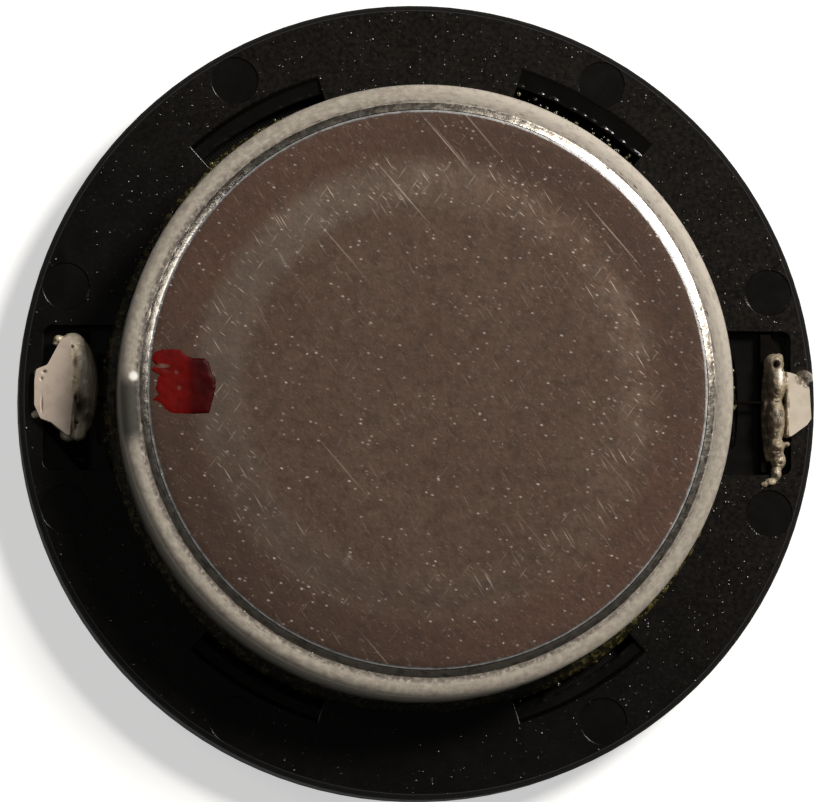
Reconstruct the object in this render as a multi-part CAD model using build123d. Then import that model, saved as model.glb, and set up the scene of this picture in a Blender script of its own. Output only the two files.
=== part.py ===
from build123d import *
import math
import os

# Mini speaker, 28 mm, with an inside-magnet motor. Millimetres.
# The front rim stands on Z = 0 and the steel cup points up, so +Z is the back of the speaker.
# The two terminals lie on the X axis.

# ---------------------------------------------------------------- driving dimensions
# frame, radial sizes
flange_width = 3.18         # from the cup's bore out to the edge
rim_width = 0.70            # front rim outside the film's edge
ledge_width = 1.00          # ledge that the film is bonded to
edge_chamfer = 0.12
# frame, heights counted from the front face
flange_thickness = 2.10
ledge_depth = 0.90
relief_depth = 0.30         # the inner floor lies this far behind the ledge
lip_thickness = 0.30        # lip under the cup's rim
lip_setback = 0.30          # from the cup's bore out to the lip's edge

# steel cup
cup_diameter = 21.28
cup_wall = 1.14
cup_floor = 1.14
cup_shoulder_radius = 0.60
cup_entry_taper = 0.10      # inside the frame's bore the wall narrows by this much towards its rim
cup_fit_gap = 0.18          # glue gap between the cup and the frame
crest_drop = 0.06           # the shoulder's crest lies this much under the face
bevel_width = 0.28          # slope round the face
bevel_drop = 0.09
groove_width = 0.07         # fine groove between the slope and the crest
groove_depth = 0.05         # from the slope's foot down
crown_height = 0.06         # the middle of the face stands this much higher
crown_border = 1.79         # from the crown's foot out to the face's edge
crown_slope_width = 1.30

# motor
magnet_thickness = 2.30
plate_thickness = 1.00
plate_recess = 0.10         # pole plate behind the plane of the cup's rim
plate_overhang = 0.32       # pole plate past the magnet, all round
plate_clearance = 0.18      # pole plate to former
coil_clearance = 0.22       # winding to cup
coil_build = 0.40           # radial thickness of the winding
coil_height = 1.40
former_wall = 0.08
former_tail = 0.10          # former past the back of the winding

# film
film_thickness = 0.10
film_edge_clearance = 0.05
film_glue_line = 0.02
seat_margin = 0.08          # flat seat past the former and the winding
dome_rise = 0.40
surround_rise = 0.35
gasket_thickness = 0.40

# windows beside the cup
window_angle = 60.2         # from the line through the terminals
window_half_angle = 12.4
window_widths = (1.53, 1.14, 1.04, 1.04)   # each from the bore outwards, counted anticlockwise
window_depth = 0.40
window_draft = 0.10
vent_slot_widths = (0.86, 0.53, 0.50, 0.50)
cloth_thickness = 0.12
cloth_margin_angle = 3.0
cloth_margin = 0.15

# ejector-pin marks
pin_mark_diameter = 1.64
pin_mark_depth = 0.05
pin_mark_inset = 1.03       # mark's centre from the flange's edge
pin_mark_angles = (17.5, 60.0)

# terminal pockets and plates
pocket_width = 5.06
pocket_floor = 0.35
pocket_rim = 0.85           # wall left outside the pocket
pocket_corner_radius = 0.30
plate_play = 0.08           # terminal plate to pocket wall
plate_gap_left = 0.20       # lead slot to terminal plate
plate_gap_right = 0.77
terminal_thickness = 0.40
terminal_tip_width = 2.10
terminal_land = 0.35        # straight part of the plate's side, at its long edge
wire_notch_radius = 0.22

# leads and their slots
lead_diameter = 0.12
lead_slot_width = 0.50
lead_slot_half_angle = 8.0
lead_film_clearance = 0.10
lead_rise = 0.20            # lead above the terminal plate inside the solder
lead_glue_radius = 0.24

# solder, as it was left by hand: its middle from the plate's middle, and from there
# how far it reaches every 45 degrees, outwards first and then towards +Y
solder_offset_left = (0.10, 0.45)
solder_reaches_left = (1.12, 1.16, 1.86, 1.24, 0.90, 1.26, 1.90, 1.55)
solder_height_left = 1.00
solder_offset_right = (0.36, -0.30)
solder_reaches_right = (0.92, 1.40, 1.86, 1.14, 0.82, 1.14, 2.65, 1.10)
solder_height_right = 1.05
solder_sections = ((0.0, 0.94), (0.35, 1.0), (0.75, 0.80), (1.0, 0.46))   # share of height, share of reach

# glue and paint
bead_height = 0.26
bead_width = 0.24
bead_root = 0.15
mark_width = 2.25
mark_inset = 1.14           # mark's centre from the edge of the cup's face
mark_offset = 0.26
mark_thickness = 0.04

# ---------------------------------------------------------------- what follows from them
cup_r = cup_diameter / 2
cup_inner_r = cup_r - cup_wall
bore_r = cup_r + cup_fit_gap
flange_r = bore_r + flange_width
rim_inner_r = flange_r - rim_width
ledge_inner_r = rim_inner_r - ledge_width
inner_floor_z = ledge_depth + relief_depth
seat_z = inner_floor_z + lip_thickness
back_z = flange_thickness

cup_height = plate_recess + plate_thickness + magnet_thickness + cup_floor
cup_top_z = seat_z + cup_height
crest_z = cup_top_z - crest_drop
crest_r = cup_r - cup_shoulder_radius
bevel_foot_z = cup_top_z - bevel_drop
bevel_foot_r = crest_r - groove_width
face_r = bevel_foot_r - bevel_width
plate_front_z = seat_z + plate_recess
magnet_front_z = plate_front_z + plate_thickness
magnet_back_z = magnet_front_z + magnet_thickness

coil_outer_r = cup_inner_r - coil_clearance
coil_inner_r = coil_outer_r - coil_build
former_inner_r = coil_inner_r - former_wall
pole_r = former_inner_r - plate_clearance
magnet_r = pole_r - plate_overhang
coil_front_z = plate_front_z + (plate_thickness - coil_height) / 2
coil_back_z = coil_front_z + coil_height

film_back_z = ledge_depth - film_glue_line
film_front_z = film_back_z - film_thickness
film_outer_r = rim_inner_r - film_edge_clearance
seat_inner_r = former_inner_r - seat_margin
seat_outer_r = coil_outer_r + seat_margin

window_floor_z = back_z - window_depth
vent_slot_radii = [bore_r + width for width in vent_slot_widths]
pocket_outer_x = flange_r - pocket_rim
pocket_floor_z = inner_floor_z + pocket_floor
lead_slot_r = bore_r + lead_slot_width
lead_slot_x = (bore_r + lead_slot_r) / 2
plate_outer_x = pocket_outer_x - plate_play
plate_top_z = pocket_floor_z + terminal_thickness
lead_r = lead_diameter / 2
overcut = 1.0               # how far cutting tools run past what they cut

SIDES = {"left": -1, "right": 1}
PLATE_INNER_X = {"left": lead_slot_r + plate_gap_left, "right": lead_slot_r + plate_gap_right}
SOLDER = {
    "left": (solder_offset_left, solder_reaches_left, solder_height_left),
    "right": (solder_offset_right, solder_reaches_right, solder_height_right),
}


# ---------------------------------------------------------------- short functions
def turned(points, arc=360):
    """A profile of (radius, height) points, turned about the Z axis."""
    return revolve(Plane.XZ * Polygon(*points, align=None), Axis.Z, arc)


def turned_from(*lines):
    """The same, from lines and arcs that close on themselves."""
    return revolve(Plane.XZ * make_face(lines), Axis.Z)


def disc(radius, low_z, high_z):
    """A round disc between two heights."""
    return Pos(0, 0, low_z) * extrude(Circle(radius), high_z - low_z)


def sector(points, middle_angle, half_angle):
    """A profile turned through part of a circle, about a middle angle."""
    return Rot(0, 0, middle_angle - half_angle) * turned(points, 2 * half_angle)


def rectangle(inner_r, outer_r, low_z, high_z):
    """Corner points of a rectangular profile."""
    return [(inner_r, low_z), (outer_r, low_z), (outer_r, high_z), (inner_r, high_z)]


def ring(inner_r, outer_r, low_z, high_z):
    """A plain ring with square edges."""
    return turned(rectangle(inner_r, outer_r, low_z, high_z))


def mirrored(angle):
    """An angle in the first quadrant and its three mirror images."""
    return (angle, 180 - angle, 180 + angle, -angle)


# ---------------------------------------------------------------- frame
def frame_body():
    body = turned([
        (rim_inner_r, 0),
        (flange_r, 0),
        (flange_r, back_z),
        (bore_r, back_z),
        (bore_r, seat_z),
        (cup_inner_r + lip_setback, seat_z),
        (cup_inner_r + lip_setback, inner_floor_z),
        (ledge_inner_r, inner_floor_z),
        (ledge_inner_r, ledge_depth),
        (rim_inner_r, ledge_depth),
    ])
    outer_edges = body.edges().filter_by(GeomType.CIRCLE).group_by(SortBy.RADIUS)[-1]
    return chamfer(outer_edges, min(edge_chamfer, rim_width / 3, back_z / 3))


def windows():
    """Arc recesses beside the cup, each with a vent slot along the cup's wall."""
    cuts = []
    for angle, width, slot_r in zip(mirrored(window_angle), window_widths, vent_slot_radii):
        slot = rectangle(bore_r, slot_r, inner_floor_z - overcut, back_z)
        recess = [
            (bore_r - overcut, window_floor_z),
            (bore_r + width - window_draft, window_floor_z),
            (bore_r + width, back_z),
            (bore_r + width, back_z + overcut),
            (bore_r - overcut, back_z + overcut),
        ]
        cuts.append(sector(recess, angle, window_half_angle))
        cuts.append(sector(slot, angle, window_half_angle))
    return cuts


def pin_marks():
    mark = Pos(flange_r - pin_mark_inset, 0, back_z - pin_mark_depth) * extrude(
        Circle(pin_mark_diameter / 2), pin_mark_depth + overcut)
    return [Rot(0, 0, angle) * mark for start in pin_mark_angles for angle in mirrored(start)]


def pockets():
    """Terminal pockets, open towards the cup, each with a slot for the lead."""
    length = pocket_outer_x - cup_inner_r
    outline = Pos(pocket_outer_x - length / 2, 0) * Rectangle(length, pocket_width)
    outline = fillet(outline.vertices().group_by(Axis.X)[-1], pocket_corner_radius)
    pocket = Pos(0, 0, pocket_floor_z) * extrude(outline, back_z + overcut - pocket_floor_z)
    slot_profile = rectangle(bore_r, lead_slot_r, inner_floor_z - overcut, pocket_floor_z + overcut)
    slot = sector(slot_profile, 0, lead_slot_half_angle)
    return [Rot(0, 0, turn) * tool for turn in (0, 180) for tool in (pocket, slot)]


def make_frame():
    body = frame_body()
    for tool in windows() + pin_marks() + pockets():
        body -= tool
    return body


# ---------------------------------------------------------------- motor
def make_yoke_cup():
    """A drawn cup: flat face with a low crown, slope and groove round it, round shoulder, straight wall."""
    crown_foot_r = face_r - crown_border
    crown_r = crown_foot_r - crown_slope_width
    groove_r = crest_r - groove_width / 2
    across = cup_shoulder_radius * math.cos(math.radians(45))
    shoulder_mid = (crest_r + across, crest_z - cup_shoulder_radius + across)
    return turned_from(
        Line((0, magnet_back_z), (cup_inner_r, magnet_back_z)),
        Line((cup_inner_r, magnet_back_z), (cup_inner_r, seat_z)),
        Line((cup_inner_r, seat_z), (cup_r - cup_entry_taper, seat_z)),
        Line((cup_r - cup_entry_taper, seat_z), (cup_r, back_z)),
        Line((cup_r, back_z), (cup_r, crest_z - cup_shoulder_radius)),
        ThreePointArc((cup_r, crest_z - cup_shoulder_radius), shoulder_mid, (crest_r, crest_z)),
        Line((crest_r, crest_z), (groove_r, bevel_foot_z - groove_depth)),
        Line((groove_r, bevel_foot_z - groove_depth), (bevel_foot_r, bevel_foot_z)),
        Line((bevel_foot_r, bevel_foot_z), (face_r, cup_top_z)),
        Line((face_r, cup_top_z), (crown_foot_r, cup_top_z)),
        Line((crown_foot_r, cup_top_z), (crown_r, cup_top_z + crown_height)),
        Line((crown_r, cup_top_z + crown_height), (0, cup_top_z + crown_height)),
        Line((0, cup_top_z + crown_height), (0, magnet_back_z)),
    )


def make_magnet():
    return disc(magnet_r, magnet_front_z, magnet_back_z)


def make_pole_plate():
    return disc(pole_r, plate_front_z, magnet_front_z)


def make_voice_coil():
    return ring(coil_inner_r, coil_outer_r, coil_front_z, coil_back_z)


def make_coil_former():
    return ring(former_inner_r, coil_inner_r, film_back_z, coil_back_z + former_tail)


# ---------------------------------------------------------------- film and its clamp
def film_line(z):
    """One face of the film from the axis outwards: dome, coil seat, surround, flat edge."""
    middle_r = (seat_outer_r + ledge_inner_r) / 2
    dome_z = z - dome_rise
    dome_radius = (seat_inner_r ** 2 + dome_rise ** 2) / (2 * dome_rise)
    half_way = seat_inner_r / 2
    half_way_z = dome_z + dome_radius - math.sqrt(dome_radius ** 2 - half_way ** 2)
    return [
        ThreePointArc((0, dome_z), (half_way, half_way_z), (seat_inner_r, z)),
        Line((seat_inner_r, z), (seat_outer_r, z)),
        ThreePointArc((seat_outer_r, z), (middle_r, z - surround_rise), (ledge_inner_r, z)),
        Line((ledge_inner_r, z), (film_outer_r, z)),
    ]


def make_diaphragm():
    front = film_line(film_front_z)
    back = film_line(film_back_z)
    return turned_from(
        *front,
        Line((film_outer_r, film_front_z), (film_outer_r, film_back_z)),
        *back,
        Line((0, film_back_z - dome_rise), (0, film_front_z - dome_rise)),
    )


def make_front_gasket():
    gasket_back_z = film_front_z - film_glue_line
    return ring(ledge_inner_r, film_outer_r, gasket_back_z - gasket_thickness, gasket_back_z)


def make_vent_cloths():
    """Cloth on the inner floor over each vent slot."""
    half_angle = window_half_angle + cloth_margin_angle
    cloths = []
    for angle, slot_r in zip(mirrored(window_angle), vent_slot_radii):
        profile = rectangle(bore_r - cloth_margin, slot_r + cloth_margin,
                            inner_floor_z - cloth_thickness, inner_floor_z)
        cloths.append(sector(profile, angle, half_angle))
    return cloths


# ---------------------------------------------------------------- terminals, leads, solder
def make_terminal(side):
    """A flat plate, wide towards the cup and narrow towards the rim, with a notch for the lead."""
    inner_x = PLATE_INNER_X[side]
    half_width = pocket_width / 2 - plate_play
    land_x = inner_x + min(terminal_land, (plate_outer_x - inner_x) / 2)
    half_tip = min(terminal_tip_width / 2, half_width)
    plate = Polygon((inner_x, -half_width), (land_x, -half_width), (plate_outer_x, -half_tip),
                    (plate_outer_x, half_tip), (land_x, half_width), (inner_x, half_width), align=None)
    plate -= Pos(inner_x, 0) * Circle(wire_notch_radius)
    solid = Pos(0, 0, pocket_floor_z) * extrude(plate, terminal_thickness)
    return Rot(0, 0, 0 if SIDES[side] > 0 else 180) * solid


def lead_route(side):
    """From the front of the winding, out under the film, back through the slot, onto the plate."""
    winding_r = (coil_inner_r + coil_outer_r) / 2
    under_film_z = film_back_z + lead_film_clearance + lead_r
    over_plate_z = plate_top_z + lead_rise
    end_x = PLATE_INNER_X[side] + wire_notch_radius + lead_rise
    return [
        (winding_r, coil_front_z),
        (winding_r, under_film_z),
        (lead_slot_x, under_film_z),
        (lead_slot_x, over_plate_z),
        (end_x, over_plate_z),
    ]


def make_lead(side):
    """A thin wire, bent sharply at each corner of its route."""
    corners = [(SIDES[side] * x, 0, z) for x, z in lead_route(side)]
    start = Plane(origin=corners[0], z_dir=(0, 0, -1))
    return sweep(start * Circle(lead_r), path=Polyline(*corners), transition=Transition.RIGHT)


def make_lead_glue(side, lead):
    """A drop that fills the slot round the lead, flush with the inner floor."""
    radius = min(lead_glue_radius, lead_slot_width / 2)
    drop = Pos(SIDES[side] * lead_slot_x, 0, inner_floor_z) * extrude(Circle(radius), pocket_floor)
    return drop - lead


def solder_section(side, height_share, reach_share):
    """The solder's outline at one height, a smooth line through its reaches."""
    offset, reaches, height = SOLDER[side]
    middle_x = (PLATE_INNER_X[side] + plate_outer_x) / 2 + offset[0]
    points = []
    for number, reach in enumerate(reaches):
        angle = math.radians(number * 360 / len(reaches))
        across = reach * reach_share * math.cos(angle)
        along = reach * reach_share * math.sin(angle)
        points.append((SIDES[side] * (middle_x + across), offset[1] + along))
    return Pos(0, 0, plate_top_z + height * height_share) * make_face(Spline(*points, periodic=True))


def make_solder(side, frame, terminal, lead):
    sections = [solder_section(side, height, reach) for height, reach in solder_sections]
    return loft(sections) - frame - terminal - lead


# ---------------------------------------------------------------- glue and paint
def make_cup_glue():
    """A bead that fills the gap round the cup and stands up as a fillet."""
    root_inner_r = cup_r - cup_entry_taper * bead_root / (back_z - seat_z)
    return turned([
        (root_inner_r, back_z - bead_root),
        (bore_r, back_z - bead_root),
        (bore_r, back_z),
        (bore_r + bead_width, back_z),
        (cup_r, back_z + bead_height),
        (cup_r, back_z),
    ])


def make_polarity_mark(cup):
    half = mark_width / 2
    outline = Polygon((-half, -0.55 * half), (-0.35 * half, -half), (0.75 * half, -half), (half, -0.30 * half),
                      (0.80 * half, 0.70 * half), (0.10 * half, half), (-half, half), align=None)
    outline = fillet(outline.vertices(), 0.15)
    column = Pos(mark_inset - face_r, mark_offset, bevel_foot_z) * extrude(outline, overcut)
    raised_face = Pos(0, 0, mark_thickness) * cup
    return (column & raised_face) - cup


# ---------------------------------------------------------------- everything, one file each
def build_all():
    frame = make_frame()
    yoke_cup = make_yoke_cup()
    pieces = {
        "frame": frame,
        "yoke_cup": yoke_cup,
        "magnet": make_magnet(),
        "pole_plate": make_pole_plate(),
        "voice_coil": make_voice_coil(),
        "coil_former": make_coil_former(),
        "diaphragm": make_diaphragm(),
        "front_gasket": make_front_gasket(),
        "cup_glue": make_cup_glue(),
        "polarity_mark": make_polarity_mark(yoke_cup),
    }
    for number, cloth in enumerate(make_vent_cloths(), 1):
        pieces[f"vent_cloth_{number}"] = cloth
    for side in SIDES:
        terminal = make_terminal(side)
        lead = make_lead(side)
        pieces[f"terminal_{side}"] = terminal
        pieces[f"lead_{side}"] = lead
        pieces[f"lead_glue_{side}"] = make_lead_glue(side, lead)
        pieces[f"solder_{side}"] = make_solder(side, frame, terminal, lead)
    return pieces


os.makedirs("parts", exist_ok=True)
for name, shape in build_all().items():
    export_step(shape, f"parts/{name}.step")
    print(name, round(shape.volume, 4))
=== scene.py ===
# %% [markdown]
# # A mini speaker, seen from behind
# This lesson dresses the solids of a small loudspeaker: a black moulded frame with a steel cup in it,
# two blobs of hand-laid solder, a dab of red paint, and a clear film with its coil at the front.
# The solids give every size and place. Each cell adds one piece or one finish, and says why it is made
# the way it is. All lengths are in metres, and MM turns millimetres into them.

# %% Load the solids
import math
from contextlib import contextmanager
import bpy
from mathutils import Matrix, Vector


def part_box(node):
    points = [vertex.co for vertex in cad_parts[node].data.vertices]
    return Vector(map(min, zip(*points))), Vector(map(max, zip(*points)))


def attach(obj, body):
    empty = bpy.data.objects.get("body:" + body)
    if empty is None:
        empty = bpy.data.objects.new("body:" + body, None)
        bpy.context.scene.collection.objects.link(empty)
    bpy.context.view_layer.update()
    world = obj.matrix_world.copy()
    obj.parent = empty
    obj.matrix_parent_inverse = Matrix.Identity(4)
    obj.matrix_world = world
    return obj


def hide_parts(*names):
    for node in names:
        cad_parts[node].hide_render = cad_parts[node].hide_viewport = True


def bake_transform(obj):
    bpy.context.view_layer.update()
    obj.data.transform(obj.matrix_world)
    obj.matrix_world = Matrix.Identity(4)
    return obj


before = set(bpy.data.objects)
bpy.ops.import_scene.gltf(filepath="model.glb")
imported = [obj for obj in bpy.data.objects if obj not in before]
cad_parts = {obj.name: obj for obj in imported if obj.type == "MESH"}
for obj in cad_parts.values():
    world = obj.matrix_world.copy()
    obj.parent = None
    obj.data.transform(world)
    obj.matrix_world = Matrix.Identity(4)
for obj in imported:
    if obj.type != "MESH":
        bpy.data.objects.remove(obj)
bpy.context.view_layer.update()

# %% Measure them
from types import SimpleNamespace

import bmesh
import bpy
from mathutils import Matrix, Vector, noise

MM = 0.001
FRAME_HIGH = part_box("frame")[1]
CUP_LOW, CUP_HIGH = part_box("yoke_cup")
FILM_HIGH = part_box("diaphragm")[1]
COIL_LOW, COIL_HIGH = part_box("voice_coil")
FORMER_LOW, FORMER_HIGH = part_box("coil_former")
GASKET_LOW, GASKET_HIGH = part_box("front_gasket")
MARK_LOW, MARK_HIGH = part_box("polarity_mark")

FLANGE_R = FRAME_HIGH.x
BACK_Z = FRAME_HIGH.z           # the flange's back, which faces up here
CUP_R = CUP_HIGH.x
CUP_TOP = CUP_HIGH.z            # the low crown in the middle of the cup's face
print("flange", round(FLANGE_R / MM, 2), "cup", round(CUP_R / MM, 2), "height", round(CUP_TOP / MM, 2))

# %% [markdown]
# ## Helpers for shader trees
# A finish is a tree of nodes. Written out one by one, nodes hide what the finish is about, so small helpers
# do the wiring: `node` adds one and fills its sockets, `calc` does arithmetic, with `times` and `plus` for
# the two sums that come up most, `blend` mixes two colours and `remap` turns a range of values into a mask.

# %% Shader helpers
def fill(tree, socket, value):
    """Link the socket to another socket, or set its constant."""
    if isinstance(value, bpy.types.NodeSocket):
        tree.links.new(value, socket)
    elif socket.type == "RGBA":
        socket.default_value = (*value[:3], 1.0)
    else:
        socket.default_value = value


def node(tree, kind, settings=None, **inputs):
    """Add a node. Input names use _ for a space."""
    made = tree.nodes.new(kind)
    for name, value in (settings or {}).items():
        setattr(made, name, value)
    for name, value in inputs.items():
        fill(tree, made.inputs[name.replace("_", " ")], value)
    return made


def calc(tree, operation, first, second=0.0, clamp=False):
    made = node(tree, "ShaderNodeMath", {"operation": operation, "use_clamp": clamp})
    fill(tree, made.inputs[0], first)
    fill(tree, made.inputs[1], second)
    return made.outputs[0]


def times(tree, first, second):
    return calc(tree, "MULTIPLY", first, second)


def plus(tree, first, second, clamp=False):
    return calc(tree, "ADD", first, second, clamp)


def blend(tree, share, first, second, mode="MIX"):
    made = node(tree, "ShaderNodeMix", {"data_type": "RGBA", "blend_type": mode})
    fill(tree, made.inputs["Factor"], share)
    fill(tree, made.inputs[6], first)
    fill(tree, made.inputs[7], second)
    return made.outputs[2]


def remap(tree, value, low, high, to_low=0.0, to_high=1.0):
    made = node(tree, "ShaderNodeMapRange", {"interpolation_type": "SMOOTHSTEP"})
    for number, item in enumerate((value, low, high, to_low, to_high)):
        fill(tree, made.inputs[number], item)
    return made.outputs[0]


def blend_value(tree, share, first, second):
    """A value between two others."""
    return remap(tree, share, 0.0, 1.0, first, second)


# %% Vector helpers
def axes(tree, vector):
    """The X, Y and Z parts of a vector."""
    return node(tree, "ShaderNodeSeparateXYZ", Vector=vector).outputs


def vector_scale(tree, vector, amount):
    made = node(tree, "ShaderNodeVectorMath", {"operation": "SCALE"})
    fill(tree, made.inputs[0], vector)
    fill(tree, made.inputs["Scale"], amount)
    return made.outputs[0]


def vector_math(tree, operation, vector, amount=(0.0, 0.0, 0.0)):
    """Add a fixed vector, multiply by one, or measure the length."""
    made = node(tree, "ShaderNodeVectorMath", {"operation": operation})
    fill(tree, made.inputs[0], vector)
    made.inputs[1].default_value = amount
    return made.outputs["Value" if operation == "LENGTH" else "Vector"]


# %% [markdown]
# ## Shared effects
# Dust, scratches, grain and stains turn up on several finishes. Each is a node group that is built once.
# It takes a position in millimetres and puts out a mask, so that every finish decides for itself what the
# mask does to its colour, its gloss or its relief.

# %% Node group helper
def new_group(name, inputs, outputs):
    """An empty shader group: {name: default} inputs, where a default of None is a vector."""
    tree = bpy.data.node_groups.new(name, "ShaderNodeTree")
    for label, default in inputs.items():
        kind = "NodeSocketVector" if default is None else "NodeSocketFloat"
        socket = tree.interface.new_socket(label, in_out="INPUT", socket_type=kind)
        if default is not None:
            socket.default_value = default
    for label in outputs:
        tree.interface.new_socket(label, in_out="OUTPUT", socket_type="NodeSocketFloat")
    start = tree.nodes.new("NodeGroupInput")
    end = tree.nodes.new("NodeGroupOutput")
    return tree, start.outputs, end.inputs


def use(tree, group, **inputs):
    """Place a group in a tree, fill its inputs and give back its first output."""
    made = tree.nodes.new("ShaderNodeGroup")
    made.node_tree = group
    for name, value in inputs.items():
        fill(tree, made.inputs[name.replace("_", " ")], value)
    return made.outputs[0]


# %% Specks of dust and bright grain
def make_specks():
    """Small round spots, of random size and strength, in a share of the cells of a Voronoi pattern."""
    tree, given, result = new_group(
        "specks", {"Position": None, "Spacing": 1.0, "Share": 0.2, "Size": 0.2}, ["Mask"])
    where = vector_scale(tree, given["Position"], calc(tree, "DIVIDE", 1.0, given["Spacing"]))
    cells = node(tree, "ShaderNodeTexVoronoi", {"feature": "F1"}, Vector=where, Scale=1.0)
    parts = node(tree, "ShaderNodeSeparateColor", Color=cells.outputs["Color"])
    chosen = calc(tree, "LESS_THAN", parts.outputs[0], given["Share"])
    radius = times(tree, given["Size"], plus(tree, parts.outputs[1], 0.25))
    inside = remap(tree, cells.outputs["Distance"], radius, times(tree, radius, 0.4))
    strength = plus(tree, calc(tree, "POWER", parts.outputs[2], 2.0), 0.15, clamp=True)
    fill(tree, result["Mask"], times(tree, times(tree, chosen, inside), strength))
    return tree


SPECKS = make_specks()


# %% Straight scratches
def make_scratches():
    """Short thin lines that lie nearly one way: Voronoi cells that are drawn out into slivers."""
    tree, given, result = new_group(
        "scratches", {"Position": None, "Angle": 0.0, "Length": 2.0, "Width": 0.03, "Share": 0.3}, ["Mask"])
    turned = node(tree, "ShaderNodeVectorRotate", {"rotation_type": "Z_AXIS"},
                  Vector=given["Position"], Angle=given["Angle"])
    parts = axes(tree, turned.outputs[0])
    along = calc(tree, "DIVIDE", parts["X"], given["Length"])
    across = calc(tree, "DIVIDE", parts["Y"], times(tree, given["Width"], 6.0))
    where = node(tree, "ShaderNodeCombineXYZ", X=along, Y=across, Z=0.0)
    cells = node(tree, "ShaderNodeTexVoronoi", {"feature": "F1"}, Vector=where.outputs[0], Scale=1.0)
    parts = node(tree, "ShaderNodeSeparateColor", Color=cells.outputs["Color"])
    chosen = calc(tree, "LESS_THAN", parts.outputs[0], given["Share"])
    line = remap(tree, cells.outputs["Distance"], 0.34, 0.02)
    strength = calc(tree, "POWER", parts.outputs[1], 1.6)
    fill(tree, result["Mask"], times(tree, times(tree, chosen, line), strength))
    return tree


SCRATCHES = make_scratches()


# %% Stains, grain and rings
def make_stains():
    """Soft uneven patches."""
    tree, given, result = new_group(
        "stains", {"Position": None, "Spacing": 1.0, "Detail": 4.0, "Low": 0.4, "High": 0.6}, ["Mask"])
    where = vector_scale(tree, given["Position"], calc(tree, "DIVIDE", 1.0, given["Spacing"]))
    cloud = node(tree, "ShaderNodeTexNoise", Vector=where, Scale=1.0, Detail=given["Detail"], Roughness=0.6)
    fill(tree, result["Mask"], remap(tree, cloud.outputs[0], given["Low"], given["High"]))
    return tree


def make_grain():
    """Relief of a spark-eroded mould: sharp little pits and grains."""
    tree, given, result = new_group("grain", {"Position": None, "Spacing": 0.1}, ["Height"])
    where = vector_scale(tree, given["Position"], calc(tree, "DIVIDE", 1.0, given["Spacing"]))
    cells = node(tree, "ShaderNodeTexVoronoi", {"feature": "F1"}, Vector=where, Scale=1.0)
    cloud = node(tree, "ShaderNodeTexNoise", Vector=where, Scale=0.6, Detail=3.0)
    fill(tree, result["Height"], plus(tree, cells.outputs["Distance"], cloud.outputs[0]))
    return tree


def make_ring():
    """One between two radii about the Z axis, fading out over a soft edge."""
    tree, given, result = new_group(
        "ring", {"Position": None, "Inner": 1.0, "Outer": 2.0, "Softness": 0.1}, ["Mask"])
    radius = vector_math(tree, "LENGTH", vector_math(tree, "MULTIPLY", given["Position"], (1, 1, 0)))
    rise = remap(tree, radius, calc(tree, "SUBTRACT", given["Inner"], given["Softness"]), given["Inner"])
    fall = remap(tree, radius, plus(tree, given["Outer"], given["Softness"]), given["Outer"])
    fill(tree, result["Mask"], times(tree, rise, fall))
    return tree


STAINS = make_stains()
GRAIN = make_grain()
RING = make_ring()
print("shared effects:", [group.name for group in (SPECKS, SCRATCHES, STAINS, GRAIN, RING)])


# %% Masks from the shared effects
def speck_mask(tree, where, spacing, share, size):
    return use(tree, SPECKS, Position=where, Spacing=spacing, Share=share, Size=size)


def scratch_mask(tree, where, angle, length, width, share):
    return use(tree, SCRATCHES, Position=where, Angle=angle, Length=length, Width=width, Share=share)


def stain_mask(tree, where, spacing, low, high):
    return use(tree, STAINS, Position=where, Spacing=spacing, Low=low, High=high)


def ring_mask(tree, where, inner, outer, softness):
    return use(tree, RING, Position=where, Inner=inner, Outer=outer, Softness=softness)


def spot_mask(tree, where, place, radius, softness):
    """A soft round spot about a place on the piece, in millimetres."""
    moved = vector_math(tree, "ADD", where, (-place[0], -place[1], 0.0))
    return ring_mask(tree, moved, -1.0, radius, softness)


# %% [markdown]
# ## Starting a finish
# Every finish starts in the same way: a Principled BSDF with its constants set on its own sockets, and the
# position on the piece in millimetres. Positions are object coordinates, so that a pattern is fixed to
# its piece and turns with it.

# %% New material
def new_finish(name, **constants):
    """A material with its Principled BSDF and the position in millimetres."""
    material = bpy.data.materials.new(name)
    material.use_nodes = True
    tree = material.node_tree
    shader = tree.nodes["Principled BSDF"]
    for label, value in constants.items():
        fill(tree, shader.inputs[label.replace("_", " ")], value)
    where = node(tree, "ShaderNodeTexCoord")
    position = vector_scale(tree, where.outputs["Object"], 1 / MM)
    return material, tree, shader, position


def relief(tree, shader, height, depth):
    """A Bump node on the shader's normal. The depth is in metres."""
    bump = node(tree, "ShaderNodeBump", Strength=1.0, Distance=depth, Height=height)
    tree.links.new(bump.outputs[0], shader.inputs["Normal"])
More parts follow.
